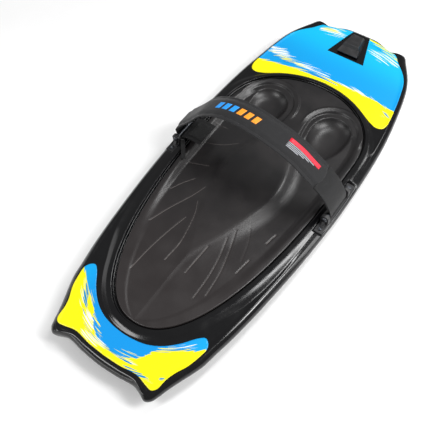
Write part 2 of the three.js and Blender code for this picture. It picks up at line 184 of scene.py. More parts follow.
def length_of(line: Array) -> float:
    """The length of a line of points."""
    return float(np.linalg.norm(np.diff(line, axis=0), axis=1).sum())


def sideways(line: Array) -> Array:
    """The unit vector to the left of a plane line at each of its points."""
    ahead = np.gradient(line, axis=0)
    ahead /= np.linalg.norm(ahead, axis=1, keepdims=True)
    return np.stack([-ahead[:, 1], ahead[:, 0]], axis=1)


# ---- Meshes ---------------------------------------------------------------------------------


@dataclass
class Surface:
    """Points, faces and what the material reads from them, ready to become an object."""

    points: Array
    faces: Array
    uv: Array | None = None
    layers: dict[str, Array] = field(default_factory=dict)

    def to_object(self, name: str, weld: bool = True) -> Object:
        """Makes the object, in metres, with smooth faces that point outwards.

        Args:
            name: the object's name.
            weld: whether points that fall together are joined and the normals worked out anew.

        Returns:
            The new object, at the origin.
        """
        mesh = bpy.data.meshes.new(name)
        mesh.vertices.add(len(self.points))
        mesh.vertices.foreach_set("co", (self.points * MM).astype(np.float32).ravel())
        mesh.loops.add(self.faces.size)
        mesh.loops.foreach_set("vertex_index", self.faces.astype(np.int32).ravel())
        mesh.polygons.add(len(self.faces))
        mesh.polygons.foreach_set("loop_start", np.arange(0, self.faces.size, self.faces.shape[1]))
        mesh.update(calc_edges=True)
        if self.uv is not None:
            mesh.uv_layers.new(name="UVMap").data.foreach_set(
                "uv", (self.uv[self.faces.ravel()] * MM).astype(np.float32).ravel()
            )
        for layer, values in self.layers.items():
            mesh.attributes.new(layer, "FLOAT", "POINT").data.foreach_set(
                "value", values.astype(np.float32).ravel()
            )
        if weld:
            tidy = bmesh.new()
            tidy.from_mesh(mesh)
            bmesh.ops.remove_doubles(tidy, verts=tidy.verts, dist=2e-6)
            bmesh.ops.dissolve_degenerate(tidy, edges=tidy.edges, dist=1e-6)
            bmesh.ops.recalc_face_normals(tidy, faces=tidy.faces)
            tidy.to_mesh(mesh)
            tidy.free()
        mesh.polygons.foreach_set("use_smooth", np.ones(len(mesh.polygons), bool))
        thing = bpy.data.objects.new(name, mesh)
        bpy.context.scene.collection.objects.link(thing)
        return thing


def grid_faces(rows: int, columns: int, around: bool = True) -> Array:
    """Quads between neighbouring rows and columns of a grid.

    Args:
        rows: how many rows of points.
        columns: how many points in a row.
        around: whether the last column joins the first.

    Returns:
        One quad per row of the result.
    """
    i, j = np.meshgrid(np.arange(rows - 1), np.arange(columns - (not around)), indexing="ij")
    k = (j + 1) % columns
    corners = [i * columns + j, i * columns + k, (i + 1) * columns + k, (i + 1) * columns + j]
    return np.stack([c.ravel() for c in corners], axis=1)


def grid_surface(
    x: Array, y: Array, z: Array, around: bool = True, **extra: object
) -> Surface:
    """A surface from three grids of coordinates; extra goes to Surface."""
    points = np.stack([x, y, z], axis=-1)
    return Surface(points.reshape(-1, 3), grid_faces(*x.shape, around), **extra)


def prism(outline: Array, low: float, high: float, axis: int) -> Surface:
    """A flat outline drawn out along an axis.

    Args:
        outline: points of the closed outline, in the other two axes in their order.
        low: where the prism starts.
        high: where it ends.
        axis: 0, 1 or 2 for x, y or z.

    Returns:
        The closed surface; its two ends are fans about the outline's middle.
    """
    ends = np.repeat([low, low, high, high], len(outline)).reshape(4, -1)
    middle = np.broadcast_to(outline.mean(axis=0), outline.shape)
    flat = np.stack([middle, outline, outline, middle])
    points = np.insert(flat, axis, ends, axis=2)
    return Surface(points.reshape(-1, 3), grid_faces(4, len(outline)))


def lathe(profile: Line, sides: int = 40) -> Surface:
    """A profile of (radius, height) points turned about Z: x = r cos a, y = r sin a."""
    radius, height = np.asarray(profile, float).T[..., None]
    turn = np.linspace(0.0, 2 * math.pi, sides, endpoint=False)
    return grid_surface(radius * np.cos(turn), radius * np.sin(turn), np.repeat(height, sides, axis=1))


def moved(surface: Surface, matrix: Matrix) -> Surface:
    """The same surface with its points put through a matrix in millimetres."""
    turn, shift = np.array(matrix)[:3, :3], np.array(matrix)[:3, 3]
    surface.points = surface.points @ turn.T + shift
    return surface


def joined(parts: list[Surface]) -> Surface:
    """Several surfaces of the same kind of face as one.

    Args:
        parts: the surfaces; their UV maps are kept if the first has one.

    Returns:
        One surface with all their points and faces.
    """
    starts = np.cumsum([0] + [len(part.points) for part in parts[:-1]])
    return Surface(
        np.vstack([part.points for part in parts]),
        np.vstack([part.faces + start for part, start in zip(parts, starts)]),
        None if parts[0].uv is None else np.vstack([part.uv for part in parts]),
    )


def bevelled(thing: Object, width: float, segments: int = 3) -> Object:
    """Rounds an object's sharp edges.

    Args:
        thing: the object.
        width: the bevel's width in millimetres.
        segments: how many faces make up each rounded edge.

    Returns:
        The same object.
    """
    rounding = thing.modifiers.new("edge rounding", "BEVEL")
    rounding.width = width * MM
    rounding.segments = segments
    rounding.limit_method = "ANGLE"
    rounding.angle_limit = math.radians(32)
    shading = thing.modifiers.new("even shading", "WEIGHTED_NORMAL")
    shading.keep_sharp = True
    return thing


def fused(name: str, parts: list[Object]) -> Object:
    """Joins overlapping closed objects into the skin of their union, and removes the parts.

    Args:
        name: what the union is called.
        parts: the objects; the first becomes the union.

    Returns:
        The union.
    """
    whole = parts[0]
    whole.name = name
    for other in parts[1:]:
        union = whole.modifiers.new("union", "BOOLEAN")
        union.operation = "UNION"
        union.solver = "EXACT"
        union.object = other
    graph = bpy.context.evaluated_depsgraph_get()
    mesh = bpy.data.meshes.new_from_object(whole.evaluated_get(graph))
    whole.modifiers.clear()
    whole.data = mesh
    mesh.name = name
    for other in parts[1:]:
        bpy.data.objects.remove(other)
    return whole


def settle(
    thing: Object, finish: Material, body: Body, slot: str, *nodes: str
) -> Object:
    """Dresses a piece and gives it its body and the nodes that it stands for.

    Args:
        thing: the piece.
        finish: its material.
        body: the body that it rides on.
        slot: the record's material slot; not used.
        *nodes: the CAD nodes that it replaces, if any.

    Returns:
        The same piece.
    """
    thing.data.materials.clear()
    thing.data.materials.append(finish)
    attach(thing, body.value)
    if nodes:
        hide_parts(*nodes)
    LOG.info("%s: %d faces on %s, %s", thing.name, len(thing.data.polygons), body.value, finish.name)
    return thing


# ---- Finishes -------------------------------------------------------------------------------

# A Map Range node that eases, and a Mix node for colours: its inputs are 6 and 7, its output 2.
SMOOTH = {"interpolation_type": "SMOOTHSTEP"}
COLOURS = {"data_type": "RGBA"}


def linear(colour: str) -> tuple[float, float, float, float]:
    """An sRGB hex colour as linear red, green, blue and an alpha of 1."""
    parts = [int(colour[i : i + 2], 16) / 255 for i in (1, 3, 5)]
    return (*(c / 12.92 if c <= 0.04045 else ((c + 0.055) / 1.055) ** 2.4 for c in parts), 1.0)


def add(
    tree: NodeTree, kind: str, inputs: dict | tuple = (), out: int | str = 0, **settings: object
) -> NodeSocket | None:
    """Adds a shader node to a tree.

    Args:
        tree: the node tree.
        kind: the node's type name, less its first word, ShaderNode.
        inputs: a number, a hex colour or a linked output for each input, by name or number, or in order.
        out: which of its outputs is wanted, by name or number.
        **settings: the node's own properties.

    Returns:
        The wanted output, or None from a node that has no outputs.
    """
    node = tree.nodes.new(f"ShaderNode{kind}")
    for key, value in settings.items():
        setattr(node, key, value)
    for key, value in inputs.items() if isinstance(inputs, dict) else enumerate(inputs):
        if isinstance(value, NodeSocket):
            tree.links.new(value, node.inputs[key])
        else:
            node.inputs[key].default_value = linear(value) if isinstance(value, str) else value
    return node.outputs[out] if node.outputs else None


def wave_scale(pitch: float) -> float:
    """The Wave texture's scale for a pitch in millimetres: its phase is 20 times the place."""
    return 2 * math.pi / 20 / (pitch * MM)


def noise_scale(size: float) -> float:
    """The Noise texture's scale for features of a size in millimetres."""
    return 1.0 / (size * MM)


class Finish:
    """A material of one Principled shader, whose inputs each kind of finish works out."""

    name: str

    def inputs(self, tree: NodeTree) -> dict[str, object]:
        """Works out the shader's inputs.

        Args:
            tree: the material's node tree, which the patterns' nodes are added to.

        Returns:
            Each input by name: a number, a hex colour or an output in the tree.
        """
        raise NotImplementedError

    def build(self) -> Material:
        """Makes the material.

        Returns:
            The new material.
        """
        material = bpy.data.materials.new(self.name)
        material.use_nodes = True
        tree = material.node_tree
        tree.nodes.clear()
        shader = add(tree, "BsdfPrincipled", self.inputs(tree))
        add(tree, "OutputMaterial", {"Surface": shader})
        return material


@dataclass(frozen=True)
class GlossPolyethylene(Finish):
    """Rotationally moulded polyethylene: deep gloss black over a faint orange peel.

    The skin copies the polished mould, so it mirrors the lights, a little broken by the peel, and
    handling leaves patches that are slightly duller.
    """

    name: str = "gloss_polyethylene"
    colour: str = "#08080a"
    peel: float = 9.0
    scuff: float = 55.0
    rough: Pair = (0.14, 0.24)
    relief: float = 0.014

    def inputs(self, tree: NodeTree) -> dict[str, object]:
        """One colour, roughness in patches of scuffing, and the peel in relief."""
        place = add(tree, "TexCoord", out="Object")
        peel = add(tree, "TexNoise", {"Vector": place, "Scale": noise_scale(self.peel), "Detail": 2.0})
        scuff = add(tree, "TexNoise", {"Vector": place, "Scale": noise_scale(self.scuff), "Detail": 6.0})
        return {
            "Base Color": self.colour,
            "IOR": 1.5,
            "Roughness": add(tree, "MapRange", (scuff, 0.35, 0.72, *self.rough), **SMOOTH),
            "Normal": add(tree, "Bump", {"Height": peel, "Distance": self.relief * MM, "Strength": 1.0}),
        }


@dataclass(frozen=True)
class MouldedFoam(Finish):
    """Heat-moulded EVA foam: dark warm grey, a soft skin gloss and fine closed-cell grain.

    The engraved lines carry a painted highlight: a paler colour, read from the distance to the
    nearest line. The cells are drawn about twice as large as they are, so that they still show.
    """

    name: str = "moulded_eva_foam"
    fore: str = "#1b1a1b"
    aft: str = "#282424"
    cloud: str = "#302c2c"
    # the painted highlight colour along the engraved lines
    line: str = "#66605e"
    cloud_size: float = 70.0
    cell: float = 1.6
    rough: Pair = (0.3, 0.4)
    relief: float = 0.07

    def inputs(self, tree: NodeTree) -> dict[str, object]:
        """Cloudy grey that warms aft, with a painted highlight along the lines, and the cells in relief."""
        place = add(tree, "TexCoord", out="Object")
        along = add(tree, "SeparateXYZ", (place,), out=1)
        warmth = add(tree, "MapRange", (along, 0.05, -0.4), **SMOOTH)
        cloud = add(tree, "TexNoise", {"Vector": place, "Scale": noise_scale(self.cloud_size), "Detail": 5.0})
        cloudy = add(tree, "MapRange", (cloud, 0.3, 0.8, 0.0, 0.35), **SMOOTH)
        skin = add(tree, "Mix", {0: warmth, 6: self.fore, 7: self.aft}, 2, **COLOURS)
        skin = add(tree, "Mix", {0: cloudy, 6: skin, 7: self.cloud}, 2, **COLOURS)
        away = add(tree, "Attribute", out="Fac", attribute_name="line_distance")
        strength = add(tree, "Attribute", out="Fac", attribute_name="line_strength")
        # painted highlight along the engraved lines, strongest on each line
        cut = add(tree, "MapRange", (away, 1.2, 0.4), **SMOOTH)
        painted_line_highlight = add(tree, "Math", (cut, strength), operation="MULTIPLY")
        cells = add(tree, "TexVoronoi", {"Vector": place, "Scale": noise_scale(self.cell)})
        return {
            "Base Color": add(tree, "Mix", {0: painted_line_highlight, 6: skin, 7: self.line}, 2, **COLOURS),
            "IOR": 1.48,
            "Roughness": add(tree, "MapRange", (cloud, 0.3, 0.75, *self.rough), **SMOOTH),
            "Normal": add(tree, "Bump", {"Height": cells, "Distance": self.relief * MM, "Strength": 1.0}),
        }


@dataclass(frozen=True)
class PrintedVinyl(Finish):
    """Printed vinyl film under a clear laminate: two flat inks that meet in dry brush strokes.

    The strokes are long noise on the piece's own UV map, u along the stroke and v across it. The
    piece's attributes say how far each place is from the boundary of the inks, in millimetres,
    and how thickly each stray ink is brushed there.
    """

    name: str
    near: str
    far: str
    base: str
    other: str
    pale: str = "#f4f6e4"
    bristle: float = 2.8
    stroke: float = 110.0
    patch_share: float = 0.31
    rag: Pair = (22.0, 14.0)
    relief: float = 0.03

    def inputs(self, tree: NodeTree) -> dict[str, object]:
        """The inks, ragged where they meet and brushed over each other, and the film's waves.

        The boundary moves by the rag, in millimetres, times each noise less a half. A stray ink
        shows where its attribute and the bristles' noise add up to about 1.
        """
        spread = add(tree, "UVMap", uv_map="UVMap")
        size = (1 / (self.stroke * MM), 1 / (self.bristle * MM), 1.0)
        stretched = add(tree, "Mapping", {"Vector": spread, "Scale": size})
        bristles = add(tree, "TexNoise", {"Vector": stretched, "Scale": 1.0, "Detail": 3.0})
        patches = add(tree, "TexNoise", {"Vector": stretched, "Scale": self.patch_share, "Detail": 2.0})
        edge = add(tree, "Attribute", out="Fac", attribute_name="edge")
        for noise, reach in zip((bristles, patches), self.rag):
            shift = add(tree, "Math", (noise, reach, -reach / 2), operation="MULTIPLY_ADD")
            edge = add(tree, "Math", (edge, shift), operation="ADD")
        fade = add(tree, "Attribute", out="Fac", attribute_name="fade")
        fade = add(tree, "MapRange", (fade, 0.0, 1.0), **SMOOTH)
        across = add(tree, "MapRange", (edge, -0.5, 0.5), **SMOOTH)
        ink = add(tree, "Mix", {0: fade, 6: self.near, 7: self.far}, 2, **COLOURS)
        ink = add(tree, "Mix", {0: across, 6: ink, 7: self.other}, 2, **COLOURS)
        for layer, shift, colour in (
            ("pale_strokes", 2.3, self.pale),
            ("other_strokes", 5.1, self.other),
            ("base_strokes", 8.9, self.base),
        ):
            turned = add(tree, "Mapping", {"Vector": stretched, "Location": (shift, 3.7 * shift, 0.0)})
            fine = add(tree, "TexNoise", {"Vector": turned, "Scale": 1.0, "Detail": 3.0})
            amount = add(tree, "Attribute", out="Fac", attribute_name=layer)
            total = add(tree, "Math", (fine, amount), operation="ADD")
            inked = add(tree, "MapRange", (total, 0.97, 1.03), **SMOOTH)
            ink = add(tree, "Mix", {0: inked, 6: ink, 7: colour}, 2, **COLOURS)
        return {
            "Base Color": ink,
            "IOR": 1.49,
            "Roughness": 0.3,
            "Normal": add(tree, "Bump", {"Height": patches, "Distance": self.relief * MM, "Strength": 1.0}),
        }


@dataclass(frozen=True)
class GrainedFinish(Finish):
    """A body with a fine grain in relief, whose tone and roughness drift from place to place.

    Where one noise rises through its range, the colour turns to the shade and the surface grows
    duller. The other noise, or the same one, is the grain.
    """

    name: str
    colour: str
    shade: str
    rough: Pair = (0.5, 0.5)
    ior: float = 1.5
    metal: float = 0.0
    drift: float = 0.0
    drift_detail: float = 5.0
    tone_range: Pair = (0.3, 0.8)
    rough_range: Pair = (0.3, 0.8)
    grain: float = 1.2
    grain_detail: float = 4.0
    relief: float = 0.02

    def inputs(self, tree: NodeTree) -> dict[str, object]:
        """Tone and roughness by the drifting noise, and the grain in relief."""
        place = add(tree, "TexCoord", out="Object")
        grain = add(
            tree, "TexNoise", {"Vector": place, "Scale": noise_scale(self.grain), "Detail": self.grain_detail}
        )
        drift = grain if not self.drift else add(
            tree, "TexNoise", {"Vector": place, "Scale": noise_scale(self.drift), "Detail": self.drift_detail}
        )
        tone = add(tree, "MapRange", (drift, *self.tone_range), **SMOOTH)
        return {
            "Base Color": add(tree, "Mix", {0: tone, 6: self.colour, 7: self.shade}, 2, **COLOURS),
            "IOR": self.ior,
            "Metallic": self.metal,
            "Roughness": add(tree, "MapRange", (drift, *self.rough_range, *self.rough), **SMOOTH),
            "Normal": add(tree, "Bump", {"Height": grain, "Distance": self.relief * MM, "Strength": 1.0}),
        }


@dataclass(frozen=True)
class MouldedNylon(GrainedFinish):
    """Injection-moulded glass-filled nylon: near black, satin, with an eroded-mould texture."""

    name: str = "glass_filled_nylon"
    colour: str = "#19191b"
    shade: str = "#29282a"
    rough: Pair = (0.42, 0.52)
    ior: float = 1.53
    drift: float = 18.0
    tone_range: Pair = (0.4, 0.75)
    rough_range: Pair = (0.3, 0.7)
    grain: float = 0.9
    grain_detail: float = 3.0
    relief: float = 0.06


@dataclass(frozen=True)
class TurnedMetal(GrainedFinish):
    """Machined metal: a bright body with fine turning marks that break up its highlights."""

    metal: float = 1.0


@dataclass(frozen=True)
class RubberPrint(GrainedFinish):
    """Raised rubber print on the cover: one flat ink with a satin face and a fine grain."""

    rough: Pair = (0.45, 0.45)
    ior: float = 1.45
    tone_range: Pair = (0.35, 0.75)
    grain: float = 2.2
    relief: float = 0.05


@dataclass(frozen=True)
class CellFoam(Finish):
    """Poured polyurethane foam: pale straw, matt, with open cells on its cut faces."""

    name: str = "polyurethane_foam"
    cell: float = 2.5
    relief: float = 0.4

    def inputs(self, tree: NodeTree) -> dict[str, object]:
        """Cells that are darker towards their walls, in relief."""
        place = add(tree, "TexCoord", out="Object")
        cells = add(tree, "TexVoronoi", {"Vector": place, "Scale": noise_scale(self.cell)})
        depth = add(tree, "MapRange", (cells, 0.1, 0.7), **SMOOTH)
        return {
            "Base Color": add(tree, "Mix", {0: depth, 6: "#e9dfb8", 7: "#c9bc8c"}, 2, **COLOURS),
            "Roughness": 0.9,
            "Normal": add(tree, "Bump", {"Height": cells, "Distance": self.relief * MM, "Strength": 1.0}),
        }


@dataclass(frozen=True)
class Cloth(Finish):
    """A woven or knitted cloth on the piece's UV map: crossing threads in relief, with a sheen.

    Each thread's own arc has a painted highlight, the thread colour, and the gaps between threads
    have painted shade, the gap colour. The pitch is that of the real threads, or as coarse as it
    must be to show.
    """

    name: str
    # thread: the colour of each thread's arc with its painted highlight; gap: painted shade between threads
    thread: str
    gap: str
    along: float
    across: float
    relief: float
    sheen: float = 0.35
    rough: float = 0.78
    worn: str = "#232326"
    fuzz: float = 14.0

    def inputs(self, tree: NodeTree) -> dict[str, object]:
        """Two waves multiplied into threads and gaps, with patches of worn nap over them."""
        spread = add(tree, "UVMap", uv_map="UVMap")
        warp, weft = (
            add(
                tree,
                "TexWave",
                {"Vector": spread, "Scale": wave_scale(pitch), "Distortion": 0.15, "Detail": 1.0},
                1,
                bands_direction=way,
            )
            for way, pitch in (("X", self.along), ("Y", self.across))
        )
        crossing = add(tree, "Math", (warp, weft), operation="MULTIPLY")
        nap = add(tree, "TexNoise", {"Vector": spread, "Scale": noise_scale(self.fuzz), "Detail": 6.0})
        # painted highlight on the threads' arcs and painted shade in the gaps between them
        lit = add(tree, "MapRange", (crossing, 0.05, 0.6), **SMOOTH)
        worn = add(tree, "MapRange", (nap, 0.45, 0.85, 0.0, 0.5), **SMOOTH)
        weave_light_and_shade = add(tree, "Mix", {0: lit, 6: self.gap, 7: self.thread}, 2, **COLOURS)
        return {
            "Base Color": add(tree, "Mix", {0: worn, 6: weave_light_and_shade, 7: self.worn}, 2, **COLOURS),
            "IOR": 1.45,
            "Roughness": self.rough,
            "Sheen Weight": self.sheen,
            "Sheen Roughness": 0.45,
            "Normal": add(tree, "Bump", {"Height": crossing, "Distance": self.relief * MM, "Strength": 1.0}),
        }


@dataclass(frozen=True)
class StudioPaper(Finish):
    """Seamless studio paper: pale, matt and very slightly mottled."""

    name: str = "studio_paper"
    mottling: float = 3.0

    def inputs(self, tree: NodeTree) -> dict[str, object]:
        """A matt white with soft mottling."""
        place = add(tree, "TexCoord", out="Object")
        mottle = add(tree, "TexNoise", {"Vector": place, "Scale": self.mottling, "Detail": 3.0})
        share = add(tree, "MapRange", (mottle, 0.3, 0.7), **SMOOTH)
        return {
            "Base Color": add(tree, "Mix", {0: share, 6: "#fafafa", 7: "#fdfdfd"}, 2, **COLOURS),
            "Roughness": 0.9,
        }


# ---- The studio -----------------------------------------------------------------------------


@dataclass(frozen=True)
class Softbox:
    """A rectangular lamp aimed at a point, in metres and watts."""

    name: str
    place: tuple[float, float, float]
    aim: tuple[float, float, float]
    size: Pair
    power: float

    def hang(self) -> None:
        """Puts the lamp in the scene."""
        lamp = bpy.data.lights.new(self.name, "AREA")
        lamp.shape = "RECTANGLE"
        lamp.size, lamp.size_y = self.size
        lamp.energy = self.power
        thing = bpy.data.objects.new(self.name, lamp)
        facing = (Vector(self.aim) - Vector(self.place)).to_track_quat("-Z", "Y").to_matrix().to_4x4()
        thing.matrix_world = Matrix.Translation(self.place) @ facing
        bpy.context.scene.collection.objects.link(thing)


@dataclass(frozen=True)
class Studio:
    """The camera, the lamps and the pale floor, in metres and degrees."""

    eye: tuple[float, float, float] = (0.5455, -0.7946, 1.4278)
    target: tuple[float, float, float] = (-0.0034, -0.1531, 0.064)
    roll: float = -5.75
    lens: float = 51.15
    air: float = 0.3
    softboxes: tuple[Softbox, ...] = (
        Softbox("flank_softbox", (0.42, 0.95, 2.0), (0.2, -0.1, 0.0), (0.32, 1.3), 21.0),
        Softbox("wall_softbox", (1.4, 0.2, 1.75), (0.05, -0.1, 0.0), (0.5, 0.8), 24.0),
        Softbox("rail_softbox", (2.4, 1.1, 1.5), (0.2, 0.0, 0.0), (0.7, 2.4), 30.0),
        Softbox("tail_softbox", (-0.9, -1.75, 2.1), (0.0, -0.4, 0.0), (1.2, 0.7), 24.0),
        Softbox("low_tail_softbox", (-0.75, -2.5, 0.4), (0.0, -0.6, 0.05), (1.7, 0.4), 7.0),
        Softbox("left_softbox", (-2.6, -0.4, 1.3), (0.0, 0.0, 0.0), (1.0, 2.0), 8.0),
    )

    def set_up(self) -> None:
        """Makes the camera first, then the lamps, the air and the floor."""
        scene = bpy.context.scene
        camera = bpy.data.cameras.new("camera")
        camera.lens = self.lens
        thing = bpy.data.objects.new("camera", camera)
        facing = (Vector(self.target) - Vector(self.eye)).to_track_quat("-Z", "Y").to_matrix().to_4x4()
        roll = Matrix.Rotation(math.radians(self.roll), 4, "Z")
        thing.matrix_world = Matrix.Translation(self.eye) @ facing @ roll
        scene.collection.objects.link(thing)
        scene.camera = thing
        scene.view_settings.view_transform = "Standard"
        for softbox in self.softboxes:
            softbox.hang()
        world = bpy.data.worlds.new("studio_air")
        world.use_nodes = True
        world.node_tree.nodes["Background"].inputs[0].default_value = (1.0, 1.0, 1.0, 1.0)
        world.node_tree.nodes["Background"].inputs[1].default_value = self.air
        scene.world = world
        corners = np.array([[-9e3, -9e3, 0.0], [9e3, -9e3, 0.0], [9e3, 9e3, 0.0], [-9e3, 9e3, 0.0]])
        floor = Surface(corners, np.array([[0, 1, 2, 3]])).to_object("floor", weld=False)
        floor.data.materials.append(StudioPaper().build())


# ---- The board's form -----------------------------------------------------------------------


@dataclass(frozen=True)
class BoardForm:
    """The curves and surfaces that the hull, the pad and the decals share."""

    deck: float = 64.0
    rim: float = 4.6
    rim_wall: Pair = (6.9, 9.6)
    groove_steps: tuple[tuple[float, float, float], ...] = ((2.9, 6.4, 7.6), (5.1, 2.6, 4.2))
    rail_bead: tuple[float, float, float] = (2.2, 13.5, 5.0)
    nose_rise: float = 25.5
    nose_start: float = 172.0
    keel_nose_rise: float = 44.0
    keel_nose_start: float = 150.0
    keel_tail_rise: float = 9.0
    keel_tail_start: float = -430.0
    half_length: float = 628.0
    spine_end: float = 490.0
    half_outline: tuple[Pair, ...] = (
        (0, -623), (55, -620), (100, -615), (122, -621), (141, -628), (154, -619), (162, -600),
        (168, -580), (175, -560), (184, -537), (194, -512), (203, -485), (210, -447), (218, -407),
        (229, -337), (238, -262), (248, -162), (254.5, -62), (258.5, 38), (256.5, 163), (251.5, 263),
        (245, 328), (235, 393), (221.5, 463), (209, 510), (196, 541), (180, 568), (165, 590),
        (150, 611), (138, 614), (115, 609), (98, 609), (78, 617), (55, 625), (0, 628),
    )
    pad_rear: float = -497.0
    pad_wide: float = 193.0
    pad_front: float = 383.0
    pad_half: float = 212.0
    pad_powers: tuple[Pair, Pair] = ((2.5, 2.2), (2.2, 2.1))
    pad_thick: float = 9.0
    pad_below: float = 2.5
    well: Pair = (105.0, 256.0)
    pad_spine: Pair = (-330.0, 215.0)

    def deck_height(self, y: Array) -> Array:
        """Height of the deck: level, then a parabola that climbs to the nose."""
        share = np.clip((y - self.nose_start) / (self.half_length - self.nose_start), 0, None)
        return self.deck + self.nose_rise * share**2

    def keel_height(self, y: Array) -> Array:
        """Height of the underside: level amidships, a parabola up to each end."""
        nose = np.clip((y - self.keel_nose_start) / (self.half_length - self.keel_nose_start), 0, None)
        tail = np.clip((self.keel_tail_start - y) / (self.half_length + self.keel_tail_start), 0, None)
        return self.keel_nose_rise * nose**2 + self.keel_tail_rise * tail**2

    def outline(self, count: int) -> Array:
        """The plan outline as evenly spaced points, from the middle of the tail round by the right.

        Args:
            count: how many points.

        Returns:
            The points, one per row.
        """
        right = list(self.half_outline)
        left = [(-x, y) for x, y in right[-2:0:-1]]
        curve = smooth_curve(right + left, count, closed=True)
        aft = curve[:, 1] < 0
        curve[aft, 1] *= self.half_length / -curve[:, 1].min()
        return curve

    def inset(self, outline: Array, length: float, share: float = 0.0) -> Array:
        """The outline moved towards the spine, by a length and by a share of what is left.

        Args:
            outline: the outline's points.
            length: how far each point moves, in millimetres.
            share: how much of the way that is left it moves as well.

        Returns:
            The moved points.
        """
        level = np.clip(outline[:, 1], -self.spine_end, self.spine_end)
        spine = np.stack([np.zeros(len(outline)), level], axis=1)
        reach = np.linalg.norm(outline - spine, axis=1, keepdims=True)
        return spine + (outline - spine) * (1 - share) * (1 - np.minimum(1, length / reach))

    def pad_half_width(self, y: Array) -> Array:
        """Half width of the pad: w (1 - t^p)^(1/r), blunter aft of its widest station."""
        aft = y < self.pad_wide
        reach = np.where(aft, self.pad_wide - self.pad_rear, self.pad_front - self.pad_wide)
        t = np.clip(np.abs(y - self.pad_wide) / reach, 0.0, 1.0)
        power, root = (np.where(aft, rear, fore) for rear, fore in zip(*self.pad_powers))
        return self.pad_half * (1 - t**power) ** (1 / root)

    def pad_outline(self, count: int) -> Array:
        """The pad's edge as evenly spaced points, from the middle of its rear round by the right.

        Args:
            count: how many points.

        Returns:
            The points, one per row.
        """
        turn = np.linspace(0.0, math.pi, 1200)
        y = (self.pad_rear + self.pad_front) / 2 - (self.pad_front - self.pad_rear) / 2 * np.cos(turn)
        right = np.stack([self.pad_half_width(y), y], axis=1)
        left = right[-2:0:-1] * (-1, 1)
        return respaced(np.vstack([right, left, right[:1]]), count, closed=True)

    def spine_of(self, points: Array) -> Array:
        """The place on the pad's spine that each point is drawn towards."""
        return np.stack([np.zeros(len(points)), np.clip(points[:, 1], *self.pad_spine)], axis=1)

    def pad_edge_towards(self, points: Array) -> Array:
        """Where the line from the pad's spine to each outer point crosses the pad's edge, by halving.

        Args:
            points: points outside the pad, one per row.

        Returns:
            The crossing for each point.
        """
        spine = self.spine_of(points)
        low, high = np.zeros((len(points), 1)), np.ones((len(points), 1))
        for _ in range(40):
            middle = (low + high) / 2
            at = spine + (points - spine) * middle
            within = (np.abs(at[:, :1]) < self.pad_half_width(at[:, 1:])) & (
                (at[:, 1:] > self.pad_rear) & (at[:, 1:] < self.pad_front)
            )
            low, high = np.where(within, middle, low), np.where(within, high, middle)
        return spine + (points - spine) * low

    def rim_scale(self, y: Array) -> Array:
        """How wide the rim round the pad is, as a share of its width at the tail."""
        return np.interp(y, [-430.0, -150.0, 150.0, 383.0], [1.0, 0.72, 0.6, 0.48])

    def rim_slope(self, y: Array) -> tuple[Array, Array]:
        """Distances from the pad's edge at which the rim's outer slope starts and ends."""
        start = np.interp(y, [-430.0, -300.0, 150.0, 383.0], [20.0, 15.0, 15.0, 10.5])
        end = np.interp(y, [-470.0, -400.0, -320.0, 150.0, 383.0], [33.0, 32.0, 39.0, 39.0, 17.0])
        return start, end

    def hull_top(self, x: Array, y: Array) -> Array:
        """Height of the deck outside the pad.

        It is the deck's own height plus a rim round the pad, less the groove inside the rim, plus a
        low bead along the rail's crest. Each is a function of the distance to the pad's edge or to
        the outline. The rim falls off outwards as 1 - t^1.6, and the groove has two steps.

        Args:
            x: the points' x.
            y: the points' y.

        Returns:
            The height at each point.
        """
        away, inside = (
            distance_to(np.vstack([line, line[:1]]), x, y)
            for line in (self.pad_outline(900), self.outline(900))
        )
        start, end = self.rim_slope(y)
        share = np.clip((away - start) / (end - start), 0.0, 2.0) ** 1.6
        away = away / self.rim_scale(y)
        rim = self.rim * ease(*self.rim_wall, away) * soft_max(1.0 - share, 0.0, 0.1)
        groove = -sum(depth * (1 - ease(low, high, away)) for depth, low, high in self.groove_steps)
        return self.deck_height(y) + rim + groove + self.bead(inside)

    def bead(self, inside: Array) -> Array:
        """Height of the bead on the rail's crest, h e^-(((d - m) / w)^2), at a distance d inside."""
        height, middle, width = self.rail_bead
        return height * np.exp(-(((inside - middle) / width) ** 2))


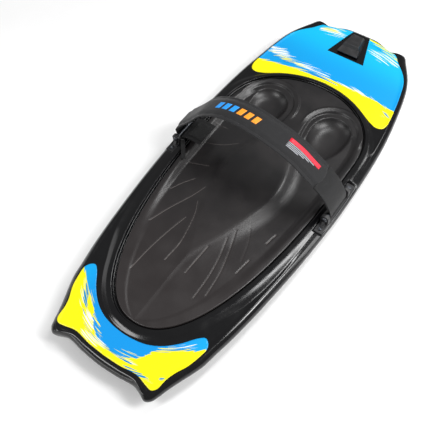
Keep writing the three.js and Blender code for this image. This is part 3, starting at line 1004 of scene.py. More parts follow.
@dataclass(frozen=True)
class PadRelief:
    """The moulded relief of the knee pad: channels, island, wells and engraved lines."""

    form: BoardForm
    dish: float = 3.0
    island_wall: float = 46.0
    well_depth: float = 31.0
    well_stretch: float = 0.55
    ledge: float = 8.0
    ledge_radius: float = 77.0
    bowl_radius: float = 58.0
    lip: float = 3.4
    cut: float = 0.9
    lines: tuple[tuple[float, Line], ...] = (
        (1.0, [(-126, -76), (-146, -108), (-161, -142)]),
        (1.0, [(-83, -87), (-104, -142), (-126, -198), (-143, -254)]),
        (1.0, [(-74, -135), (-57, -168), (-41, -228), (-35, -265), (-37, -324)]),
        (0.9, [(-70, -191), (-81, -250), (-90, -320), (-94, -391)]),
        (0.6, [(-191, 113), (-170, 117), (-147, 119)]),
        (0.6, [(-176, 43), (-139, 58), (-95, 91)]),
        (0.8, [(-174, -42), (-158, -35), (-120, -20)]),
        (0.7, [(63, -152), (85, -220), (100, -279), (107, -346)]),
        (0.25, [(68, -91), (105, -157), (124, -220)]),
        (0.8, [(57, -183), (76, -257), (83, -310), (85, -368)]),
        (0.9, [(31, -231), (29, -280), (28, -324)]),
        (1.0, [(154, -105), (148, -141)]),
        (1.0, [(139, -205), (133, -254)]),
    )

    def island(self, y: Array) -> Array:
        """Half width of the island between the shins: a leaf that narrows to a point aft."""
        leaf = 87 * np.exp(-(((y + 2) / np.where(y > -2, 190.0, 222.0)) ** 2)) * ease(-345.0, -180.0, y)
        return np.maximum(leaf, 40 * ease(90.0, 230.0, y)) + 190 * ease(235.0, 330.0, y)

    def channel(self, y: Array) -> Array:
        """Depth of the shin channels, deepest at the knees."""
        return 15 * ease(-420.0, 60.0, y) * (1 - ease(250.0, 345.0, y))

    def line_distance(self, x: Array, y: Array) -> tuple[Array, Array]:
        """Distance to the nearest engraved line, and that line's strength.

        Args:
            x: the points' x.
            y: the points' y.

        Returns:
            The distances and the strengths, in the shape of x.
        """
        curves = [smooth_curve(points, 24) for _, points in self.lines]
        away = np.stack([distance_to(curve, x, y) for curve in curves])
        nearest = away.argmin(axis=0)
        strength = np.array([strong for strong, _ in self.lines])
        return away.min(axis=0), strength[nearest]

    def top(self, x: Array, y: Array) -> Array:
        """Height of the pad's upper face.

        The deck's height less the deepest of the shallow dish, the channel and the knee well, with
        the creases between them rounded, plus a lip round the fore side of each well. The well is
        a ledge and, inside it, a bowl of depth (1 - r^3.2)^0.8, both drawn out aft.

        Args:
            x: the points' x.
            y: the points' y.

        Returns:
            The height at each point.
        """
        form = self.form
        side = np.abs(x)
        inner = form.pad_half_width(y) - side
        beside = side - self.island(y)
        dish = self.dish * ease(26.0, 40.0, inner) * ease(0.0, 24.0, beside + 12)
        wall = 1 - (1 - np.clip(beside / self.island_wall, 0.0, 1.0)) ** 2
        channel = self.channel(y) * ease(8.0, 34.0, inner) * wall
        ahead = y - form.well[1]
        reach = np.hypot(side - form.well[0], ahead)
        long = np.hypot(side - form.well[0], np.where(ahead > 0, ahead, ahead * self.well_stretch))
        ledge = self.ledge * (1 - ease(self.ledge_radius - 5.0, self.ledge_radius + 2.0, long))
        hollow = np.clip(1 - (long / self.bowl_radius) ** 3.2, 0, None) ** 0.8
        bowl = ledge + (self.well_depth - self.ledge) * hollow
        depth = soft_max(soft_max(dish, channel, 1.6), bowl, 0.8) - 1.3
        ramp = np.clip((reach - self.ledge_radius - 2.0) / 10.0, 0.0, 1.0)
        crest = 1 - ease(self.ledge_radius + 10.0, self.ledge_radius + 18.0, reach)
        lip = self.lip * ramp * crest * ease(225.0, 275.0, y)
        return form.deck_height(y) - form.pad_below - depth + lip


# ---- The hull and its pad -------------------------------------------------------------------


@dataclass(frozen=True)
class Hull:
    """The moulded shell: deck, rim round the pad, rails and underside, as one closed surface."""

    form: BoardForm
    relief: PadRelief
    columns: int = 800
    groove: tuple[float, ...] = (1.0, 2.0, 2.6, 3.1, 3.7, 4.2, 5.2, 6.4, 7.0, 7.6, 8.2, 8.9, 9.6)
    slope: tuple[float, ...] = (
        0.0, 0.12, 0.25, 0.38, 0.5, 0.62, 0.72, 0.81, 0.88, 0.94, 0.98, 1.02, 1.06, 1.12, 1.2,
    )
    border: int = 34
    rail: tuple[Pair, ...] = (
        (17, 1), (12.5, 0.99), (8, 0.965), (5, 0.93), (2.5, 0.885), (1, 0.84), (0, 0.78), (0.4, 0.7),
        (1.5, 0.62), (4.5, 0.51), (9, 0.4), (15, 0.28), (22, 0.18), (30, 0.11), (40, 0.05), (50, 0.015),
        (60, 0),
    )
    # The middle, half sizes and floor height of the pocket under a bracket.
    seat: tuple[float, float, float, float, float] = (239.0, 43.0, 12.2, 88.5, 57.7)

    def seated(self, x: Array, y: Array, z: Array) -> Array:
        """The deck with a flat pocket let in under each strap bracket."""
        cx, cy, half_x, half_y, floor = self.seat
        inside = np.minimum(half_x - np.abs(np.abs(x) - cx), half_y - np.abs(y - cy))
        return z + np.minimum(floor - z, 0.0) * ease(-1.2, 0.4, inside)

    def surface(self) -> Surface:
        """Rows from the pad's spine out to the rail and back under to the middle of the keel.

        Returns:
            The closed surface; each column runs on a ray from the spine through the pad's edge.
        """
        form = self.form
        outline = form.outline(self.columns)
        edge, spine = form.pad_edge_towards(outline), form.spine_of(outline)
        crest = form.inset(outline, self.rail[0][0] + 1.0)
        rows = []
        for share in np.linspace(0.0, 0.97, 24):
            at = spine + (edge - spine) * share
            rows.append((at, self.relief.top(at[:, 0], at[:, 1]) - form.pad_thick - 1.0))
        scale = form.rim_scale(edge[:, 1])[:, None]
        gap = np.linalg.norm(crest - edge, axis=1, keepdims=True)
        ahead = (crest - edge) / gap
        foot = edge + ahead * self.groove[0] * scale
        rows.append((foot, form.deck_height(foot[:, 1]) - form.pad_below - form.pad_thick - 2.5))

        flat = np.stack([edge + ahead * step for step in self.steps(edge, ahead, gap, scale)])
        rows.extend(zip(flat, form.hull_top(flat[..., 0], flat[..., 1])))
        rows.extend(self.rail_rows(outline))
        for share in (0.25, 0.5, 0.75, 1.0):
            at = form.inset(outline, self.rail[-1][0], share)
            rows.append((at, form.keel_height(at[:, 1])))

        plan = np.stack([at for at, _ in rows])
        level = np.stack([height for _, height in rows])
        return grid_surface(plan[..., 0], plan[..., 1], self.seated(plan[..., 0], plan[..., 1], level))

    def steps(
        self, edge: Array, ahead: Array, gap: Array, scale: Array
    ) -> list[Array]:
        """Distances of the deck's rows from the pad's edge: over the groove, down the rim, then even.

        Args:
            edge: where each column crosses the pad's edge.
            ahead: each column's direction.
            gap: each column's length from the pad's edge to the rail's crest.
            scale: how wide the rim is there, as a share.

        Returns:
            One column of distances for each row.
        """
        border = self.form.pad_outline(900)
        probe = edge + ahead * 12.0
        straight = (distance_to(np.vstack([border, border[:1]]), *probe.T) / 12.0)[:, None]
        start, end = self.form.rim_slope(edge[:, 1:])
        near = [step * scale for step in self.groove]
        left = len(self.slope) + self.border
        for k, share in enumerate(self.slope):
            limit = near[-1] + (gap - near[-1]) / (left - k)
            wanted = (start + (end - start) * share) / straight
            near.append(np.clip(wanted, near[-1] + 0.3, np.maximum(limit, near[-1] + 0.5)))
        shares = np.linspace(0.0, 1.0, self.border + 1)[1:-1]
        return near + [near[-1] + (gap - near[-1]) * share for share in shares]

    def rail_rows(self, outline: Array) -> list[tuple[Array, Array]]:
        """Rows down the rail: its profile, with heights as shares of the way from keel to deck.

        Args:
            outline: the board's outline.

        Returns:
            Each row's points in plan and their heights.
        """
        form, tall = self.form, 60
        profile = smooth_curve([(inside, share * tall) for inside, share in self.rail], 26)
        last_upper = np.abs(profile[:, 0]).argmin() + 2
        rows = []
        for k, (inside, share) in enumerate(profile / (1, tall)):
            at = form.inset(outline, max(inside, 0.0))
            low, high = form.keel_height(at[:, 1]), form.deck_height(at[:, 1])
            bead = form.bead(max(inside, 0.0)) * ease(1.0, 12.0, inside) if k <= last_upper else 0.0
            rows.append((at, low + (high - low) * share + bead))
        return rows

    def build(self, finish: Material) -> None:
        """Makes and dresses the hull."""
        settle(self.surface().to_object("hull"), finish, Body.BOARD, "hull_gloss_black", "hull_shell")


@dataclass(frozen=True)
class FoamCore:
    """The poured foam inside the hull, a few millimetres clear of the shell all round."""

    form: BoardForm
    relief: PadRelief
    columns: int = 320
    shoulder: Pair = (24.0, 15.0)
    waist: float = 22.0
    foot: Pair = (42.0, 9.0)
    under_pad: float = 6.0

    def surface(self) -> Surface:
        """Rows from the pad's spine out under the recess and the deck, then back above the keel.

        Returns:
            The closed surface.
        """
        form = self.form
        outline = form.outline(self.columns)
        spine, edge = form.spine_of(outline), form.pad_edge_towards(outline)
        rows = []
        for share in np.linspace(0.0, 1.0, 24):
            at = spine + (edge - spine) * share
            rows.append((at, self.relief.top(at[:, 0], at[:, 1]) - form.pad_thick - self.under_pad))
        at = form.inset(outline, self.shoulder[0])
        rows.append((at, form.deck_height(at[:, 1]) - self.shoulder[1]))
        at = form.inset(outline, self.waist)
        rows.append((at, (form.deck_height(at[:, 1]) + form.keel_height(at[:, 1])) / 2))
        for share in (0.0, 0.3, 0.6, 1.0):
            at = form.inset(outline, self.foot[0], share)
            rows.append((at, form.keel_height(at[:, 1]) + self.foot[1]))
        plan = np.stack([at for at, _ in rows])
        return grid_surface(plan[..., 0], plan[..., 1], np.stack([level for _, level in rows]))

    def build(self, finish: Material) -> None:
        """Makes and dresses the core."""
        settle(self.surface().to_object("poured_foam_core"), finish, Body.BOARD, "hull_foam", "foam_core")


@dataclass(frozen=True)
class KneePad:
    """The moulded EVA pad, on rays from its spine to its edge, with a rounded border."""

    form: BoardForm
    relief: PadRelief
    columns: int = 900
    rings: int = 98
    rounding: float = 3.4

    def surface(self) -> Surface:
        """Rings from the spine to the edge over the upper face, then back under the lower one.

        Returns:
            The closed surface, with each point's distance to the nearest engraved line.
        """
        form, size = self.form, self.rounding
        edge = form.pad_outline(self.columns)
        spine = form.spine_of(edge)
        reach = np.linalg.norm(edge - spine, axis=1)
        arc = np.linspace(0.0, math.pi / 2, 8)
        rows = [(s * (1 - size / reach), 0.0, True) for s in np.linspace(0.0, 1.0, self.rings)[:-1]]
        rows += [(1 - size * (1 - math.sin(a)) / reach, size * (1 - math.cos(a)), True) for a in arc]
        rows += [(np.ones(len(edge)), form.pad_thick - 2.0, True), (1 - 2.0 / reach, 0.0, False)]
        rows += [(np.full(len(edge), s), 0.0, False) for s in (0.9, 0.7, 0.5, 0.25, 0.0)]
        at = np.stack([spine + (edge - spine) * s[:, None] for s, _, _ in rows])
        x, y = at[..., 0], at[..., 1]
        top = self.relief.top(x, y)
        away, strength = self.relief.line_distance(x, y)
        drop, upper = (np.array([row[k] for row in rows])[:, None] for k in (1, 2))
        groove = self.relief.cut * strength * np.exp(-((away / 1.7) ** 2))
        z = np.where(upper, top - drop - groove, top - form.pad_thick)
        return grid_surface(x, y, z, layers={"line_distance": away, "line_strength": strength * upper})

    def build(self, finish: Material) -> None:
        pad = settle(self.surface().to_object("moulded_knee_pad"), finish, Body.BOARD, "eva_foam", "knee_pad")


# ---- Decals ---------------------------------------------------------------------------------


@dataclass(frozen=True)
class Decal:
    """A film cut to an outline and laid on the deck, with the attributes that its print reads."""

    form: BoardForm
    name: str
    node: str
    half: Line
    cut_out: Line
    lift: float = 0.3
    thick: float = 0.5
    spacing: float = 3.0

    def outline(self) -> Array:
        """The whole outline: the smooth right half, its mirror image, and any straight cut-out.

        Returns:
            The outline's points, one per row.
        """
        right = smooth_curve(self.half, 110)
        left = right[::-1] * (-1, 1)
        if self.cut_out:
            ahead = np.array(self.cut_out, float)
            return np.vstack([ahead, right, left[1:], ahead[::-1] * (-1, 1)])
        return np.vstack([right, left[1:-1]])

    def sheet(self) -> tuple[Array, Array]:
        """Triangles that fill the outline, from its own points and an even lattice inside it.

        Returns:
            The points in plan, and three of them for each triangle.
        """
        border = self.outline()
        loop = np.vstack([border, border[:1]])
        low, high = border.min(axis=0), border.max(axis=0)
        x, y = np.meshgrid(*(np.arange(low[k], high[k], self.spacing) for k in (0, 1)))
        x = x + (np.arange(len(x)) % 2)[:, None] * self.spacing / 2
        start, end = loop[:-1], loop[1:]
        crosses = (start[:, 1] > y[..., None]) != (end[:, 1] > y[..., None])
        rise = np.where(end[:, 1] == start[:, 1], 1.0, end[:, 1] - start[:, 1])
        at = start[:, 0] + (y[..., None] - start[:, 1]) * (end[:, 0] - start[:, 0]) / rise
        within = (crosses & (x[..., None] < at)).sum(axis=2) % 2 == 1
        within &= distance_to(loop, x, y) > self.spacing * 0.45
        points = np.vstack([border, np.stack([x[within], y[within]], axis=1)])
        edges = [(i, (i + 1) % len(border)) for i in range(len(border))]
        found = delaunay_2d_cdt([Vector(p) for p in points], edges, [], 1, 1e-4)
        return np.array([tuple(v) for v in found[0]]), np.array(found[2])

    def levels(self, x: Array, y: Array) -> dict[str, Array]:
        """The print's attributes at each point; each decal says its own."""
        raise NotImplementedError

    def strokes(self, x: Array, y: Array) -> Array:
        """The brush's own coordinates at each point, along the stroke and across it."""
        return np.stack([x, y], axis=1)

    def build(self, finish: Material) -> None:
        """Makes and dresses the decal.

        Args:
            finish: its material.
        """
        plan, faces = self.sheet()
        x, y = plan.T
        z = self.form.hull_top(x, y) + self.lift
        top, count = np.stack([x, y, z + self.thick], axis=1), len(x)
        edges = np.sort(np.vstack([faces[:, [0, 1]], faces[:, [1, 2]], faces[:, [2, 0]]]), axis=1)
        rim, uses = np.unique(edges, axis=0, return_counts=True)
        rim = rim[uses == 1]
        walls = np.vstack([
            np.stack([rim[:, 0], rim[:, 1], rim[:, 1] + count], axis=1),
            np.stack([rim[:, 0], rim[:, 1] + count, rim[:, 0] + count], axis=1),
        ])
        surface = Surface(
            np.vstack([top, np.stack([x, y, z], axis=1)]),
            np.vstack([faces, faces[:, ::-1] + count, walls]),
            np.tile(self.strokes(x, y), (2, 1)),
            {key: np.tile(value, 2) for key, value in self.levels(x, y).items()},
        )
        settle(surface.to_object(self.name), finish, Body.BOARD, "vinyl_decal", self.node)


def patch(x: Array, y: Array, middle: Pair, size: Pair, turn: float = 0.0) -> Array:
    """A soft-edged oval: 1 at its middle and 0 outside, e^(-r^4).

    Args:
        x: the points' x.
        y: the points' y.
        middle: the oval's middle.
        size: its half length and half width.
        turn: how far its long side is turned from x, in degrees.

    Returns:
        The oval's strength at each point.
    """
    c, s = math.cos(math.radians(turn)), math.sin(math.radians(turn))
    along = ((x - middle[0]) * c + (y - middle[1]) * s) / size[0]
    across = (-(x - middle[0]) * s + (y - middle[1]) * c) / size[1]
    return np.exp(-((along**2 + across**2) ** 2))


def strongest(x: Array, y: Array, ovals: list[tuple[float, Pair, Pair, float]]) -> Array:
    """The strongest of several patches at each point, each given as strength, middle, size, turn."""
    return np.maximum.reduce([strength * patch(x, y, *place) for strength, *place in ovals])


@dataclass(frozen=True)
class NoseDecal(Decal):
    """The nose decal: blue, with a yellow band aft and pale strokes along both its edges."""

    def strokes(self, x: Array, y: Array) -> Array:
        """Strokes that bow with the decal's aft edge: across is y plus a share of x squared."""
        return np.stack([x, y + x**2 / 900], axis=1)

    def levels(self, x: Array, y: Array) -> dict[str, Array]:
        """Blue forward of a bowed line, yellow aft of it, and where stray strokes lie.

        Args:
            x: the points' x.
            y: the points' y.

        Returns:
            The value of each of the print's attributes at each point.
        """
        line = 421.0 - 0.00042 * (x - 60) ** 2 + np.where(x < 0, 0.03 * x, 0.0)
        pale = strongest(x, y, [
            (0.50, (-175, 437), (60, 24), 2), (0.48, (-60, 430), (120, 18), 0),
            (0.46, (80, 424), (110, 11), -3), (0.50, (-78, 585), (66, 20), 3),
            (0.49, (98, 572), (80, 24), -8),
        ])
        lemon = strongest(x, y, [
            (0.56, (78, 603), (70, 10), -9), (0.54, (-72, 607), (44, 8), 3),
            (0.49, (-150, 425), (90, 14), 0), (0.47, (-92, 590), (50, 16), 3),
            (0.45, (110, 585), (50, 14), -8),
        ])
        azure = strongest(x, y, [
            (0.50, (200, 386), (26, 17), 0), (0.49, (-150, 418), (80, 12), 2),
            (0.49, (-20, 414), (120, 9), 0), (0.44, (60, 590), (60, 12), -9),
        ])
        return {
            "edge": line - y,
            "fade": ease(600.0, 420.0, y),
            "pale_strokes": pale,
            "other_strokes": lemon,
            "base_strokes": azure,
        }


@dataclass(frozen=True)
class TailDecal(Decal):
    """The tail decal: a blue band round the pad, and yellow outside it with blue strokes."""

    middle: Pair = (0.0, -330.0)
    boundary: tuple[Pair, ...] = (
        (0, -581), (13, -585), (43, -577), (76, -554), (94, -526), (139, -491), (170, -472), (191, -457),
    )

    def strokes(self, x: Array, y: Array) -> Array:
        """Strokes that follow the arc of the pad: along is the turn about it, across the distance."""
        reach = np.hypot(x - self.middle[0], y - self.middle[1])
        turn = np.arctan2(x - self.middle[0], self.middle[1] - y)
        return np.stack([turn * 230.0, reach], axis=1)

    def levels(self, x: Array, y: Array) -> dict[str, Array]:
        """Blue within the boundary, yellow outside it, and where stray strokes lie.

        Args:
            x: the points' x.
            y: the points' y.

        Returns:
            The value of each of the print's attributes at each point.
        """
        curve = smooth_curve(self.boundary, 60)
        limit = np.interp(np.abs(x), curve[:, 0], curve[:, 1])
        slant = np.interp(np.abs(x), [0, 60, 100, 190], [1.0, 0.9, 0.78, 0.8])
        pale = strongest(x, y, [
            (0.51, (-45, -585), (60, 15), 0), (0.50, (-85, -560), (46, 17), -35),
            (0.48, (-150, -505), (66, 12), -52), (0.48, (135, -487), (66, 12), 38),
            (0.46, (50, -580), (60, 8), 8),
        ])
        azure = strongest(x, y, [
            (0.52, (92, -590), (58, 7), 4), (0.51, (30, -583), (66, 6), 3),
            (0.50, (-128, -520), (70, 10), -52), (0.49, (130, -497), (60, 9), 38),
            (0.52, (146, -566), (12, 8), 60), (0.47, (-60, -575), (60, 9), -12),
        ])
        lemon = strongest(x, y, [
            (0.49, (-70, -548), (70, 9), -32), (0.49, (50, -565), (66, 9), 16),
            (0.48, (-158, -490), (50, 8), -54), (0.48, (120, -500), (50, 8), 38),
        ])
        return {
            "edge": (y - limit) * -slant,
            "fade": ease(100.0, 200.0, np.abs(x)),
            "pale_strokes": pale,
            "other_strokes": lemon,
            "base_strokes": azure,
        }


# ---- Tow hook and strap brackets ------------------------------------------------------------


@dataclass(frozen=True)
class TowHook:
    """The moulded hook: a wedge with an undercut lip on a sunk plate, tilted with the deck."""

    form: BoardForm
    y: float = 565.0
    plate: tuple[Pair, ...] = ((-57, -46), (57, -46), (25, 48), (-25, 48))
    side: tuple[Pair, ...] = (
        (38, -2.5), (38, 1), (32, 15), (29, 20), (24, 21.5), (-9, 23), (-13, 21.5), (-19, 11.5),
        (-37, 9.5), (-39.5, 8.2), (-39.5, 5.2), (-27, 4), (-25, -2.5),
    )

    def place(self) -> Matrix:
        """Where the hook's own origin lies, and how far it tips with the deck."""
        y = np.array([self.y - 1, self.y, self.y + 1])
        height = self.form.deck_height(y)
        tip = Matrix.Rotation(math.atan((height[2] - height[0]) / 2), 4, "X")
        return Matrix.Translation((0, self.y, height[1])) @ tip

    def build(self, finish: Material) -> None:
        """Makes and dresses the hook, whose wedge narrows forward and upward.

        Args:
            finish: its material.
        """
        place = self.place()
        wedge = prism(np.array(self.side), -1.0, 1.0, 0)
        _, y, z = wedge.points.T
        wedge.points[:, 0] *= 16.0 + 9.6 * (29.0 - y) / 50 + 7.0 * (22.0 - z) / 22
        parts = [
            moved(prism(np.array(self.plate), -6.0, -1.5, 2), place).to_object("hook_plate"),
            moved(wedge, place).to_object("hook_wedge"),
        ]
        hook = bevelled(fused("moulded_tow_hook", parts), 1.6)
        settle(hook, finish, Body.BOARD, "moulded_nylon", "tow_hook")


def stadium(x: float, half: float, foot: float, pivot: float, crown: float) -> Array:
    """An upright tab's outline: straight sides up to the pivot, and a half ellipse over it.

    Args:
        x: the tab's middle.
        half: half its width.
        foot: the height of its foot.
        pivot: the height at which the arch starts.
        crown: how high the arch rises over that.

    Returns:
        The outline's points.
    """
    turn = np.linspace(0.0, math.pi, 25)
    arch = np.stack([x + half * np.cos(turn), pivot + crown * np.sin(turn)], axis=1)
    return np.vstack([[(x - half, foot), (x + half, foot)], arch])


@dataclass(frozen=True)
class StrapBracket:
    """A strap bracket on one side, with the heads of its pivot bolt and its screws."""

    side: Side
    x: float = 239.0
    y: float = 43.0
    half: float = 11.5
    low: float = 58.3
    base: float = 4.5
    ear_in: float = 46.0
    ear_thick: float = 10.0
    foot: float = 88.0
    screw: float = 76.0
    pivot: float = 81.0
    crown: float = 11.0
    bolt_profile: tuple[Pair, ...] = (
        (0, -2.4), (2.6, -2.4), (2.9, -4.6), (4.6, -4.5), (6.5, -3.2), (7.4, -1.2), (7.5, 0), (4, 0),
        (4, 3),
        (0, 3),
    )
    screw_profile: tuple[Pair, ...] = (
        (0, 2.4), (1.6, 2.6), (2.2, 3.5), (3.6, 3.2), (5.0, 2.1), (5.7, 0.3), (3, 0.2), (3, -20), (0, -20),
    )

    def moulding(self) -> Object:
        """The base plate, two rounded ears, and a web that braces each ear from outside.

        Returns:
            The bracket as one object.
        """
        x, y, half, foot = self.side.value * self.x, self.y, self.half, self.foot
        corners = ((-1, -1), (1, -1), (1, 1), (-1, 1))
        plate = np.array([(x + i * half, y + j * foot) for i, j in corners])
        parts = [prism(plate, self.low, self.low + self.base, 2).to_object("bracket_plate")]
        tab = stadium(x, half, self.low + 1, self.pivot, self.crown)
        for way in (-1, 1):
            inner, outer = y + way * self.ear_in, y + way * (self.ear_in + self.ear_thick)
            parts.append(prism(tab, min(inner, outer), max(inner, outer), 1).to_object("bracket_ear"))
            heel, toe = (outer - way * 1.0, self.low + 2), (outer + way * 13, self.low + 2)
            brace = np.array([heel, toe, (outer - way * 1.0, self.pivot - 5)])
            parts.append(prism(brace, x - 4.0, x + 4.0, 0).to_object("bracket_brace"))
        return bevelled(fused(f"moulded_bracket_{self.side.word}", parts), 1.5)

    def bolt_end(self, way: int) -> Surface:
        """A domed bolt head with a socket, facing aft (-1) or fore (1)."""
        reach = self.ear_in + self.ear_thick + 0.3
        turn = Matrix.Rotation(way * math.pi / 2, 4, "X")
        place = Matrix.Translation((self.side.value * self.x, self.y + way * reach, self.pivot))
        return moved(lathe(self.bolt_profile), place @ turn)

    def screw_head(self, way: int) -> Surface:
        """A button-head screw whose recess is drawn as a shallow dish."""
        top = self.low + self.base
        place = Matrix.Translation((self.side.value * self.x, self.y + way * self.screw, top))
        return moved(lathe(self.screw_profile), place)

    def build(self, nylon: Material, steel: Material) -> None:
        """Makes and dresses the bracket and its fasteners.

        Args:
            nylon: the bracket's material.
            steel: the fasteners' material.
        """
        word = self.side.word
        settle(self.moulding(), nylon, Body.BOARD, "moulded_nylon", f"strap_bracket_{word}")
        for end, way in (("aft", -1), ("fore", 1)):
            settle(self.bolt_end(way).to_object(f"bolt_head_{word}_{end}"), steel, Body.BOARD, "stainless")
            screw = self.screw_head(way).to_object(f"bracket_screw_head_{word}_{end}")
            settle(screw, steel, Body.BOARD, "stainless", f"bracket_screw_{word}_{end}")


# ---- The strap ------------------------------------------------------------------------------


@dataclass(frozen=True)
class StrapForm:
    """The strap's own line, from the left end of its cover to the right bar, and its places."""

    deck: float = 64.0
    middle: float = 43.0
    width: float = 80.0
    pivot: Pair = (239.0, 81.0)
    cover_share: float = 0.905
    points: tuple[Pair, ...] = (
        (-249.5, 29.5), (-241.5, 46), (-230, 59), (-213, 78), (-192, 103), (-161, 141), (-136, 160),
        (-98, 179), (-50, 186.5), (0, 182.5), (49, 172.5), (92, 159.5), (124, 145), (153, 124), (183, 102),
        (213, 77), (231, 52),
    )

    def line(self, count: int = 600) -> Array:
        """The strap's centre line as (x, z) points, evenly spaced."""
        return smooth_curve([(x, self.deck + height) for x, height in self.points], count)

    def stretch(self, start: float, end: float, count: int) -> Array:
        """The part of the line between two shares of its length.

        Args:
            start: the share of the length at which the part starts.
            end: the share at which it ends.
            count: how many evenly spaced points to return.

        Returns:
            The points as (x, z) rows.
        """
        line = self.line()
        first, last = round(start * (len(line) - 1)), round(end * (len(line) - 1))
        return respaced(line[first : last + 1], count)


    def above(
        self, line: Array, length: float, u: Array, height: Array
    ) -> tuple[Array, Array]:
        """Places at a height over a line, along its left normal.

        Args:
            line: the line as (x, z) rows.
            length: its length.
            u: lengths along it.
            height: how far over it each place is.

        Returns:
            Their x and z.
        """
        along = np.linspace(0.0, length, len(line))
        x, z, out_x, out_z = (np.interp(u, along, column) for column in (*line.T, *sideways(line).T))
        return x + out_x * height, z + out_z * height


def swept(line: Array, across: Array, lift: Array, middle: float) -> Surface:
    """A section carried along a line in the X-Z plane.

    Each point is the line's point, plus lift along the line's left normal, plus across in y.

    Args:
        line: the line as (x, z) rows.
        across: a row for each point of the line and a column for each point of the section.
        lift: the same, for the height off the line.
        middle: the line's y.

    Returns:
        The surface; its UV map is the length along the line, and across.
    """
    normal = sideways(line)
    x = line[:, :1] + normal[:, :1] * lift
    z = line[:, 1:] + normal[:, 1:] * lift
    y = middle + across
    steps = np.concatenate([[0.0], np.cumsum(np.linalg.norm(np.diff(line, axis=0), axis=1))])
    u = np.broadcast_to(steps[:, None], x.shape)
    return grid_surface(x, y, z, uv=np.stack([u, across], axis=-1).reshape(-1, 2))


def webbing(line: Array, width: float, thick: float, middle: float) -> Surface:
    """A flat woven band with round edges, closed at both ends.

    The section is a stadium: two flats, and a half circle at each edge. A row with no thickness
    closes each end.

    Args:
        line: the band's line as (x, z) rows.
        width: its width.
        thick: its thickness.
        middle: its middle's y.

    Returns:
        The closed surface.
    """
    flat = np.linspace(-1.0, 1.0, 26)
    turn = np.linspace(math.pi / 2, -math.pi / 2, 7)[1:-1]
    half, radius = width / 2 - thick / 2, thick / 2
    bulge, level = radius * np.cos(turn), np.full(len(flat), radius)
    across = np.concatenate([flat * half, half + bulge, -flat * half, -half - bulge])
    lift = np.concatenate([level, radius * np.sin(turn), -level, -radius * np.sin(turn)])
    rows = np.vstack([line[:1], line, line[-1:]])
    rows[0] = rows[1] - (rows[2] - rows[1]) * 0.02
    rows[-1] = rows[-2] + (rows[-2] - rows[-3]) * 0.02
    open_rows = np.ones((len(rows), 1))
    open_rows[[0, -1]] = 0.0
    return swept(rows, np.repeat(across[None], len(rows), axis=0), lift[None] * open_rows, middle)


